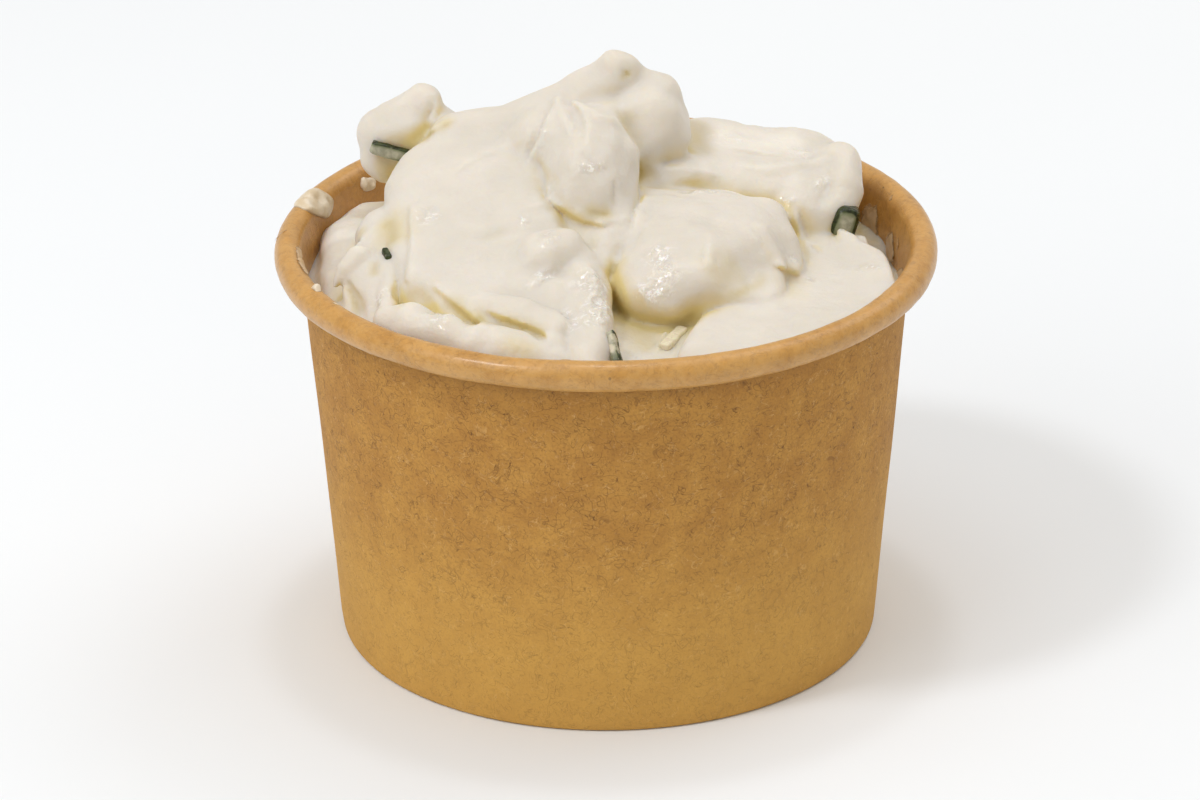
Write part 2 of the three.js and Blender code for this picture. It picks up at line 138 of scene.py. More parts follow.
def finish_material(paint, colour, roughness, bump=None, **settings):
    """Ends a material: bump is (height, distance in metres), and the rest are the shader's own values."""
    sockets = {"Base Color": colour, "Roughness": roughness}
    if bump:
        height, distance = bump
        sockets["Normal"] = paint.node("Bump", {}, {"Height": height, "Distance": distance, "Strength": 1.0})
    sockets.update({name.replace("_", " "): value for name, value in settings.items()})
    surface = paint.node("BsdfPrincipled", {}, sockets)
    paint.node("OutputMaterial", {}, {"Surface": surface})


def laid(colour, layers):
    """A colour with layers over it. Each is (how far it covers, its colour)."""
    for cover, tint in layers:
        colour = cover.mix(colour, tint)
    return colour


def new_mesh(name, points, faces):
    """A mesh from points in millimetres."""
    mesh = bpy.data.meshes.new(name)
    mesh.from_pydata((np.asarray(points) * MM).tolist(), [], [list(map(int, face)) for face in faces])
    return mesh


def give(mesh, label, values):
    """Stores one number, or one vector, for each point of a mesh."""
    values = np.asarray(values, dtype=float)
    kind, field = ("FLOAT", "value") if values.ndim == 1 else ("FLOAT_VECTOR", "vector")
    mesh.attributes.new(label, kind, "POINT").data.foreach_set(field, values.ravel())


def finished_piece(name, mesh, smooth=True):
    """Puts a mesh in the scene as a piece of the tub, which is one body."""
    mesh.polygons.foreach_set("use_smooth", [smooth] * len(mesh.polygons))
    piece = bpy.data.objects.new(name, mesh)
    bpy.context.scene.collection.objects.link(piece)
    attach(piece, "root")
    return piece


def new_piece(name, points, faces, material, attributes, smooth=True):
    """A piece from points in millimetres. Attributes are {name: one number or vector for each point}."""
    mesh = new_mesh(name, points, faces)
    for label, values in attributes.items():
        give(mesh, label, values)
    mesh.materials.append(material)
    return finished_piece(name, mesh, smooth)


def wall_radius(height, inwards=0.0):
    """The radius of the wall's outer face at a height, or of a face further in."""
    return BASE_RADIUS + WALL_LEAN * height - inwards


def noise(points, cell, seed):
    """Smooth noise from -1 to 1 at each point, from values drawn at the corners of a lattice."""
    place = points / cell
    base = np.floor(place)
    share = place - base
    share = share ** 3 * (share * (share * 6 - 15) + 10)
    low = base.min(axis=0)
    size = (base.max(axis=0) - low).astype(int) + 2
    x, y, z = np.meshgrid(*(corner + np.arange(n) for corner, n in zip(low, size)), indexing="ij")
    drawn = np.sin(x * 127.1 + y * 311.7 + z * 74.7 + seed * 53.3) * 43758.5453
    drawn = (2 * (drawn - np.floor(drawn)) - 1).ravel()
    at = np.ravel_multi_index((base - low).astype(int).T, size)
    i, j = size[1] * size[2], size[2]
    u, v, w = share.T
    edges = [drawn[at + a] * (1 - w) + drawn[at + a + 1] * w for a in (0, j, i, i + j)]
    return (edges[0] * (1 - v) + edges[1] * v) * (1 - u) + (edges[2] * (1 - v) + edges[3] * v) * u


def paper_path():
    """The middle of the sheet's thickness, from the hem's end to the roll's cut edge, and its normals."""
    half = PAPER / 2
    inner = wall_radius(0.0, half + 2 * (PAPER + GAP))
    outer = wall_radius(0.0, half)
    fold_z = half + FOLD_RADIUS
    roll_x = RIM_RADIUS - ROLL_WIDTH / 2
    roll_z = TUB_HEIGHT - ROLL_HEIGHT / 2
    wall_from, wall_to = 2.5, roll_z - 2.2
    path = [(inner + WALL_LEAN * z, z) for z in np.linspace(HEM_HEIGHT, fold_z, 6)]
    first_turn = np.linspace(math.pi, 1.5 * math.pi, 5)
    second_turn = np.linspace(1.5 * math.pi, 2 * math.pi, 5)[1:]
    for middle, angles in ((inner + FOLD_RADIUS, first_turn), (outer - FOLD_RADIUS, second_turn)):
        path += [(middle + FOLD_RADIUS * math.cos(a), fold_z + FOLD_RADIUS * math.sin(a)) for a in angles]
    path += [(wall_radius(z, half), z) for z in np.linspace(wall_from, wall_to, 40)]
    for angle in np.linspace(ROLL_START, ROLL_START - ROLL_TURNS, 46):
        shrink = 1.0 + ROLL_TUCK * min(angle + math.pi / 2, 0.0)
        path.append((
            roll_x + (ROLL_WIDTH / 2 - half) * shrink * math.cos(angle),
            roll_z + (ROLL_HEIGHT / 2 - half) * shrink * math.sin(angle),
        ))
    path = np.array(path)
    along = np.gradient(path, axis=0)
    along /= np.linalg.norm(along, axis=1)[:, None]
    normal = np.stack([along[:, 1], -along[:, 0]], axis=1)
    return path, normal


def lengths_along(path):
    """How far along the sheet each point of its path lies."""
    return np.concatenate([[0], np.cumsum(np.linalg.norm(np.diff(path, axis=0), axis=1))])


def paper_wall():
    """The sheet wrapped round and lapped: its points, its faces and each point's place on the sheet."""
    path, normal = paper_path()
    travel = lengths_along(path)
    whole = 2 * math.pi * SHEET_RADIUS
    edge = np.arange(-2, 3) * 0.05
    steps = np.concatenate([
        np.linspace(edge[-1] * 1.5, LAP_WIDTH - 0.15, 8), LAP_WIDTH + edge,
        np.linspace(LAP_WIDTH + 0.4, whole - 0.3, 280), whole + edge[:-1],
    ])
    # the outer ply ends at 0 and the inner ply at the lap's width. Each eases back into the round wall
    first_half = steps < whole / 2
    outer_ease, inner_ease = 9.0, 7.0
    outer_lift = PAPER * np.exp(-(steps / outer_ease) ** 2) * (first_half & (steps > 0))
    to_edge = LAP_WIDTH - np.where(first_half, steps, steps - whole)
    inner_lift = PAPER * np.exp(-(to_edge / inner_ease) ** 2) * (~first_half | (steps < LAP_WIDTH))
    rows = np.concatenate([np.arange(len(path)), np.arange(len(path))[::-1]])
    sides = np.concatenate([np.ones(len(path)), -np.ones(len(path))])
    on_roll = np.clip((path[:, 1] - (TUB_HEIGHT - ROLL_HEIGHT - 1)) / 1.5, 0, 1)
    above_foot = np.clip((path[:, 1] - 0.3) / 2.0, 0, 1)
    points, sheet = [], []
    for step, lift_out, lift_in in zip(steps, outer_lift, inner_lift):
        facing = step / SHEET_RADIUS + LAP_ANGLE
        across, back = math.cos(facing), math.sin(facing)
        at = np.stack([np.full(len(path), SHEET_RADIUS * side) for side in (across, back)] + [path[:, 1]], 1)
        sway = 0.10 * noise(at, 16.0, 21)
        crinkle = 0.05 * noise(at, 5.0, 22) + 0.035 * noise(at, 1.9, 23)
        ring = path + normal * ((sway + crinkle * on_roll) * above_foot)[:, None]
        ring[:, 1] += on_roll * 0.09 * noise(at, 22.0, 24)
        out = ring[rows] + normal[rows] * (sides * PAPER / 2)[:, None]
        out[:len(path)] += normal * (lift_out * above_foot)[:, None]
        out[len(path):] -= (normal * (lift_in * above_foot)[:, None])[::-1]
        points.append(np.stack([out[:, 0] * across, out[:, 0] * back, out[:, 1]], 1))
        sheet.append(np.stack([np.full(len(rows), step), travel[rows], sides], 1))
    index = np.arange(len(steps) * len(rows)).reshape(len(steps), len(rows))
    ahead = np.roll(index, -1, axis=0)
    beside = np.roll(index, -1, axis=1)
    both = np.roll(ahead, -1, axis=1)
    faces = np.stack([index, beside, both, ahead], axis=2).reshape(-1, 4)
    return np.concatenate(points), faces, np.concatenate(sheet)


# Bands of the board, in millimetres up the sheet: (where it begins to change, where it has changed). The roll
# is the board's own; the band under the rim is painted shadow, and the wall is painted lighter towards its
# foot.
ON_ROLL = (66.5, 68.5)
PAINTED_RIM_SHADOW = (60.0, 65.5)
PAINTED_LOW_LIGHT = (12.0, 46.0)


def kraft_paper(name, dull, bright, coat, fibre_strength, roughness):
    """Kraft board: cloudy tan pulp with short curled fibres, pale and dark, and a few specks of bark."""
    made, paint = new_material(name)
    place = paint.node("Attribute", {"attribute_name": "sheet"}, {}, out=1)
    up_sheet = paint.node("SeparateXYZ", {}, {"Vector": place}, out=1)

    def fibres(size, width, share, shift):
        """Thin curls, from the lines along which cloudy values cross their middle, broken into lengths."""
        lines = 1 - abs(place.noise(size, 1.0, 0.4, 0.8, shift) - 0.5).step(width * 0.3, width)
        return lines * place.noise(size * 1.3, 1.0, shift=shift + 40).step(0.95 - share, 1.05 - share)

    cloud = place.noise(7.0, 4.0, 0.6, shift=3.0)
    grain = place.noise(1.1, 3.0, 0.65, shift=8.0)
    fine = place.noise(0.42, 2.0, 0.6, shift=58.0)
    dark = fibres(2.3, 0.020, 0.47, 11.0) + fibres(1.6, 0.026, 0.42, 23.0) + fibres(0.9, 0.03, 0.45, 57.0)
    pale = fibres(2.0, 0.022, 0.45, 31.0) + fibres(1.3, 0.030, 0.42, 47.0)
    speck = paint.node("TexVoronoi", {"feature": "F1"}, {"Vector": place, "Scale": 0.22})
    seldom = place.noise(9.0, 0.0, shift=70.0).step(0.60, 0.62)
    layers = [
        (dark * fibre_strength, rgb(110, 72, 30)),
        (pale * fibre_strength * 0.8, rgb(222, 178, 112)),
        (grain.step(0.42, 0.75) * 0.3, rgb(140, 96, 44)),
        (fine.step(0.45, 0.7) * fibre_strength, rgb(146, 98, 48)),
        ((1 - speck.step(0.035, 0.06)) * seldom * 0.8, rgb(84, 52, 24)),
    ]
    if coat:
        rolled = up_sheet.step(*ON_ROLL)
        streaks = paint.node("VectorMath", {"operation": "MULTIPLY"}, {0: place, 1: (1.0, 0.12, 1.0)})
        dabs = place.noise(2.6, 4.0, 0.7, shift=64.0)
        layers += [
            (streaks.noise(1.6, 2.0, shift=90.0).step(0.45, 0.75) * (0.5 - rolled * 0.4), coat),
            (rolled * dabs.step(0.35, 0.65) * 0.5, rgb(210, 166, 100)),
            (rolled * dabs.step(0.56, 0.66) * 0.35, rgb(146, 98, 46)),
        ]
    else:
        layers += [
            # painted shadow under the rim, and painted light that makes the wall lighter towards its foot
            (up_sheet.step(*PAINTED_RIM_SHADOW) * 0.65, rgb(120, 84, 42)),
            ((1 - up_sheet.step(*PAINTED_LOW_LIGHT)) * 0.5, rgb(218, 172, 84)),
        ]
    colour = laid(cloud.step(0.3, 0.7).mix(dull, bright), layers)
    relief = grain * 0.6 + dark * 0.5 + pale * 0.4 + place.noise(0.35, 2.0, shift=5.0) * 0.4
    finish_material(
        paint, colour, roughness + (cloud - 0.5) * 0.1, (relief, 0.06 * MM),
        Coat_Weight=0.35 if coat else 0.0, Coat_Roughness=0.22,
    )
    return made


kraft_outside = kraft_paper(
    "kraft board", dull=rgb(179, 128, 54), bright=rgb(195, 145, 67), coat=None,
    fibre_strength=0.45, roughness=0.8,
)
kraft_inside = kraft_paper(
    "coated kraft board", dull=rgb(190, 138, 62), bright=rgb(206, 154, 78), coat=rgb(172, 118, 44),
    fibre_strength=0.12, roughness=0.42,
)

wall_points, wall_faces, wall_sheet = paper_wall()
tub_wall = new_piece("tub_wall", wall_points, wall_faces, kraft_outside, {"sheet": wall_sheet})
tub_wall.data.materials.append(kraft_inside)
inner_face = wall_sheet[wall_faces][:, :, 2].mean(axis=1) < 0
tub_wall.data.polygons.foreach_set("material_index", inner_face.astype(int))
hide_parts("paper_wall")


# ---- Base --------------------------------------------------------------------------------------
# A disc of the same board with its edge pressed down. The edge is held between the wall and the
# wall's turned-in foot, so the disc stands clear of the table.

FLOOR_HEIGHT = 6.2


def turned(profile, steps):
    """A closed profile of (radius, height) turned about the tub's axis. Ends on the axis become one point."""
    profile = np.asarray(profile, dtype=float)
    angles = np.linspace(0, 2 * math.pi, steps, endpoint=False)
    points, rows = [], []
    for radius, height in profile:
        if radius < 1e-6:
            rows.append(np.full(steps, len(points)))
            points.append((0.0, 0.0, height))
        else:
            rows.append(len(points) + np.arange(steps))
            points += [(radius * math.cos(a), radius * math.sin(a), height) for a in angles]
    faces = []
    for low, high in zip(rows, rows[1:]):
        for i in range(steps):
            j = (i + 1) % steps
            ring = [low[i], low[j], high[j], high[i]]
            faces.append([int(p) for n, p in enumerate(ring) if p != ring[n - 1]])
    return np.array(points), faces


def base_disc():
    """The disc, its rounded edge and the rim that is pressed down into the hem."""
    inside, out = 2 * PAPER + GAP, PAPER + GAP
    top = FLOOR_HEIGHT + PAPER
    rounding = 0.9
    corner = rounding * 0.3
    under_edge = wall_radius(FLOOR_HEIGHT, inside)
    top_edge = wall_radius(top, out)
    profile = [(r, FLOOR_HEIGHT) for r in np.linspace(0, under_edge - rounding, 24)]
    profile += [
        (under_edge - corner, FLOOR_HEIGHT - corner),
        (wall_radius(FLOOR_HEIGHT - rounding, inside), FLOOR_HEIGHT - rounding),
        (wall_radius(out, inside), out),
        (wall_radius(out, out), out),
        (wall_radius(top - rounding, out), top - rounding),
        (top_edge - corner, top - corner),
    ]
    profile += [(r, top) for r in np.linspace(top_edge - rounding, 0, 24)]
    return turned(profile, 160)


base_points, base_faces = base_disc()
# its own stretch of board, apart from the wall's. Its places lie beyond the wall's bands, so the painted
# shadow under the rim covers it all over
base_sheet = base_points + 150
tub_base = new_piece(
    "tub_base", base_points, base_faces, kraft_outside, {"sheet": base_sheet}, smooth=False,
)
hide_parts("paper_base")


# ---- Tzatziki ----------------------------------------------------------------------------------
# Thick strained yogurt, spooned into the tub and heaped over its rim. Each spoonful is a rounded
# form that melts into the rest, and the spoon has torn lips, ridges and hollows between them.

FILL_DEPTH = 8.0
# the heap is worked out on a grid of cells in a box that starts at this corner
HEAP_CELL = 0.5
HEAP_CORNER = np.array([-46.0, -46.0, 44.0])
HEAP_CELLS = np.array([184, 184, 92])


def axes(turn=0.0, lean=0.0, roll=0.0):
    """Turn, lean and roll, in degrees about Z, X and Y, as a matrix."""
    angles = (("Z", turn), ("X", lean), ("Y", roll))
    about_z, about_x, about_y = (Matrix.Rotation(math.radians(angle), 3, axis) for axis, angle in angles)
    return np.array(about_z @ about_x @ about_y)


def dollop(points, at, size, turn=0.0, lean=0.0, roll=0.0):
    """Distance from each point to a spoonful that is round every way."""
    q = (points - at) @ axes(turn, lean, roll)
    reach = np.linalg.norm(q / size, axis=1)
    slope = np.linalg.norm(q / np.square(size), axis=1)
    return reach * (reach - 1) / np.maximum(slope, 1e-9)


def slab(points, at, size, square, turn=0.0, lean=0.0, roll=0.0):
    """A spoonful with flatter sides. The higher the squareness, the flatter they are."""
    q = np.abs((points - at) @ axes(turn, lean, roll)) / size
    reach = np.maximum(np.sum(q ** square, axis=1) ** (1 / square), 1e-9)
    n = (q / reach[:, None]) ** (square - 1)
    return (reach - 1) / np.maximum(np.linalg.norm(n / size, axis=1), 1e-6)


def tongue(points, through, radii):
    """A drawn-out spoonful that runs through a few points and tapers."""
    nearest = np.full(len(points), np.inf)
    knots = np.asarray(through, dtype=float)
    for start, end, r0, r1 in zip(knots, knots[1:], radii, radii[1:]):
        along = end - start
        offset = points - start
        share = np.clip(offset @ along / (along @ along), 0, 1)
        gap = np.linalg.norm(offset - share[:, None] * along, axis=1) - (r0 + (r1 - r0) * share)
        nearest = np.minimum(nearest, gap)
    return nearest


# Places are in millimetres from the middle of the rim's top: x to the right, y to the back, z up.
# The last number of each is how far the spoonful melts into the rest.
SPOONFULS = [
    # what fills the tub up to its rim
    (slab, dict(at=(0, -18, -13.8), size=(47, 34, 8.6), square=5), 2),
    (dollop, dict(at=(-4, 24, -13), size=(34, 21, 7.6)), 3),
    (dollop, dict(at=(-14, -26, -12), size=(22, 19, 9.6)), 3),
    (slab, dict(at=(-4, 4, -6), size=(26, 21, 13), square=2.6), 4),
    (dollop, dict(at=(24, 3, -5), size=(5, 6, 4.6)), 1),
    (dollop, dict(at=(-32.6, -23.6, -5.6), size=(4, 6, 3.4)), 1),
    # the smooth bank at the left, just clear of the wall
    (slab, dict(at=(-31.8, 3, -11), size=(11.2, 24, 7.4), lean=1, square=4.5), 1),
    (dollop, dict(at=(-37.4, -18.5, -5), size=(3, 4.5, 2.2)), 0.6),
    # the smooth bank at the right, which climbs to a point beside the wall
    (slab, dict(at=(32.4, -19, -10.3), size=(16, 26, 8.2), turn=-19, square=8), 0.5),
    (tongue, dict(
        through=[(39.6, -11, -6), (37.6, -3, -4.4), (35.1, 2.2, -1.3)],
        radii=(4.2, 3.2, 0.6)), 1.2),
    # the big sloping slab at the left and its crest
    (slab, dict(at=(-19, -4.5, 0.6), size=(13.8, 20, 8), lean=18, roll=-8, square=3.4), 1.2),
    (tongue, dict(
        through=[(-22, 13, 9.8), (-15, 13, 11.4), (-8.4, 13, 13.9), (-3.9, 13, 15.2)],
        radii=(4, 4, 4, 4)), 2.5),
    (dollop, dict(at=(-8.4, -15.5, 2.4), size=(5.6, 6.4, 4.8)), 0.8),
    (slab, dict(at=(-15, -19, -3.2), size=(12.4, 11, 7.2), lean=17, square=3), 1.2),
    (dollop, dict(at=(-3.4, -21.6, -0.8), size=(4, 4.6, 4.4)), 0.8),
    # the fold that hangs from the peak
    (dollop, dict(at=(-2.4, 0.4, 9.4), size=(7, 11.4, 6.2), lean=36), 1),
    (tongue, dict(
        through=[(0, 8, 14), (1.6, 3, 10.6), (1.6, -4, 6), (-0.4, -13, 1.2), (-2.4, -18.6, -0.6)],
        radii=(3.4, 2.9, 2.9, 2.6, 2.4)), 1),
    # the peak and the lobe beside it
    (dollop, dict(at=(0, 16, 8), size=(11, 9, 11)), 3),
    (dollop, dict(at=(-8.6, 7, 13.4), size=(5.4, 5, 3.8)), 3),
    (tongue, dict(through=[(-2.4, 13.4, 16), (1.3, 13, 20.7)], radii=(4.4, 3)), 1.5),
    (tongue, dict(through=[(1.5, 13.6, 19.6), (5, 13.6, 17.8), (8, 13.6, 17)], radii=(3, 2.6, 2.6)), 1),
    (slab, dict(at=(6.5, 12, 13.4), size=(5.1, 6, 6.2), roll=-24, square=2.9), 1.5),
    (dollop, dict(at=(9.2, 9.6, 5), size=(7, 5.6, 4)), 1.5),
    # the spur that runs down to the front of the rim
    (tongue, dict(
        through=[(-4.5, -17, 0.2), (-2.9, -24, -1.6), (-2.5, -31, -3), (-2.8, -41, -5.3)],
        radii=(4.2, 3.8, 3.6, 3.3)), 0.8),
    # rolls along the rim at the front left, and the lips that lap over them
    (tongue, dict(through=[(-31.6, -26.6, -2.8), (-28, -29.6, -2.2), (-25, -31.4, -2.4), (-19.5, -34, -3.4)],
                  radii=(2.8, 3.7, 3.4, 3.4)), 0.6),
    (dollop, dict(at=(-22.4, -33, -1.2), size=(3.6, 2.8, 2.6), turn=-30), 0.8),
    (tongue, dict(
        through=[(-18, -35, -3), (-12.5, -36.8, -3.4), (-8, -38, -4.4)],
        radii=(3.6, 3.7, 3.4)), 0.6),
    (tongue, dict(
        through=[(-27, -18.6, -0.2), (-22, -24.6, -0.2), (-17, -28.2, -0.8)],
        radii=(2.6, 3.0, 2.8)), 1.2),
    (tongue, dict(
        through=[(-18, -27.5, -0.6), (-12.5, -30, -0.9), (-8, -33, -2.2)],
        radii=(3, 3.2, 2.6)), 0.8),
    (tongue, dict(
        through=[(-26, -22.5, -3.2), (-21, -27, -3.2), (-17, -30, -3.6)],
        radii=(2.4, 2.7, 2.6)), 1.5),
    (tongue, dict(
        through=[(-17, -30.5, -3.4), (-12, -33, -3.8), (-8, -35.4, -4.6)],
        radii=(2.6, 2.7, 2.6)), 1.5),
    # the torn pieces at the left
    (slab, dict(at=(-32.2, -4.6, -0.6), size=(4.8, 7.4, 4.8), roll=-14, square=2.6), 0.5),
    (slab, dict(at=(-35.3, -15.8, -1.2), size=(3.4, 9.6, 1.5), lean=21, roll=-24, turn=-4, square=2.8), 0.5),
    (tongue, dict(
        through=[(-36.2, -12, 1), (-37.8, -13.4, 0), (-39.6, -15, -1.8)],
        radii=(1.8, 1.3, 0.4)), 0.6),
    (tongue, dict(
        through=[(-31.8, -13.6, 0.4), (-32.2, -20, -1.4), (-32.3, -27, -3.2)],
        radii=(1.7, 1.6, 1.5)), 0.4),
    # the knob at the back left, over a piece of cucumber
    (slab, dict(at=(-30.4, 18, 7.8), size=(6.2, 5.4, 5.2), roll=-20, square=2.6), 1),
    (tongue, dict(through=[(-30.2, 18, 11), (-26.8, 18, 14.2)], radii=(3.6, 2.5)), 1),
    (tongue, dict(through=[(-27, 18, 12), (-22.6, 17.5, 9.6)], radii=(3, 2.4)), 1),
    (dollop, dict(at=(-33.2, 16, 5.6), size=(3.4, 3.6, 3.2)), 0.6),
    (dollop, dict(at=(-26, 20, 4), size=(7.5, 7, 7)), 2),
    # the flat-topped block at the back right
    (slab, dict(at=(21, 17, -1.3), size=(16.4, 10.4, 9.6), lean=13, roll=8.5, square=3.2), 2),
    (tongue, dict(through=[(35.2, 15, 4.4), (34.8, 10, 2.2), (34.2, 7.2, 0.6)], radii=(3.4, 3.6, 3.4)), 2),
    (slab, dict(at=(30, 12, -2.6), size=(6.4, 9, 7.4), square=2.6), 1),
    # the round mound in the middle right, and the drip beside it
    (slab, dict(at=(14.6, -8.4, -1.6), size=(10.8, 15.2, 7.5), turn=8, lean=4, square=3.6), 0.5),
    (dollop, dict(at=(8.4, 1.6, 1.6), size=(5, 5, 3.8)), 1.5),
    (dollop, dict(at=(8.4, -16, -1.4), size=(7.6, 9.8, 5.4)), 1.5),
    (dollop, dict(at=(21, -5.6, -1), size=(7, 9.6, 6.2)), 2),
    (dollop, dict(at=(11, -13.4, -6.4), size=(10.4, 9.4, 4)), 2),
    (tongue, dict(
        through=[(9, -17.5, -1.4), (4, -18, -1.8), (0.8, -17.6, -1.8)],
        radii=(3.4, 2.2, 1.6)), 0.8),
    (tongue, dict(through=[(23.4, 1, 1.2), (25.4, -5, -0.2), (27, -10.6, -2)], radii=(4, 3.4, 1.8)), 1.6),
]

# Hollows left by the spoon, beside the wall and over the recess at the front.
HOLLOWS = [
    (tongue, dict(
        through=[(-41.8, -20.4, -3), (-44.6, -12, -3), (-45.6, 0, -3), (-44.4, 12, -3), (-38.4, 25, -3)],
        radii=(2.2, 3.1, 3.2, 2.6, 2)), 0.8),
    (tongue, dict(
        through=[(41, 16, -2), (43, 10, -5), (43.4, 2, -4.4), (44.6, -6, -3), (45, -14, -2)],
        radii=(4, 4.8, 4.5, 3.5, 2.9)), 1),
    (dollop, dict(at=(23.4, -23, 7), size=(7.6, 10, 8.8)), 3),
    (tongue, dict(
        through=[(-37.8, -16, -1), (-36.6, -21, -1.6), (-35.2, -27, -2)],
        radii=(0.6, 1.2, 0.9)), 0.4),
]


def soft_min(a, b, blend):
    """The lesser of two distances, rounded where they cross."""
    overlap = np.maximum(blend - np.abs(a - b), 0)
    return np.minimum(a, b) - overlap * overlap / (4 * blend)


def pushed(points):
    """The spoonfuls are pushed about a little, so that none keeps a ruled shape."""
    push = [0.7 * noise(points, 11.0, 1 + axis) + 0.3 * noise(points, 4.5, 11 + axis) for axis in range(3)]
    return points + np.stack(push, axis=1)


def merged(points, distance, forms, side):
    """Adds forms to a distance (side 1) or cuts them from it (side -1), wherever they are near enough."""
    for form, shape, blend in forms:
        if form is tongue:
            knots = np.array(shape["through"], dtype=float)
            centre = knots.mean(axis=0)
            reach = np.linalg.norm(knots - centre, axis=1).max() + max(shape["radii"])
        else:
            centre = np.array(shape["at"])
            reach = np.linalg.norm(shape["size"])
        near = np.linalg.norm(points - centre, axis=1) < reach + blend + 3
        distance[near] = side * soft_min(side * distance[near], form(points[near], **shape), blend)


def masses_distance(points):
    """Distance to the spoonfuls and hollows, before the spoon's marks are drawn on them."""
    moved = pushed(points) - (0, 0, TUB_HEIGHT)
    distance = moved[:, 2] + FILL_DEPTH
    merged(moved, distance, SPOONFULS, 1)
    merged(moved, distance, HOLLOWS, -1)
    return distance


# The front of the heap is seen from a little above. Marks are drawn on it from there: how far each
# point is to the right of the rim's middle, and how far up, in millimetres square to the view.
LOOK_DOWN = math.radians(24.47)
LOOK_ALONG = np.array([0, math.cos(LOOK_DOWN), -math.sin(LOOK_DOWN)])
LOOK_UP = np.array([0, math.sin(LOOK_DOWN), math.cos(LOOK_DOWN)])
LOOK_ASIDE = np.array([1.0, 0, 0])

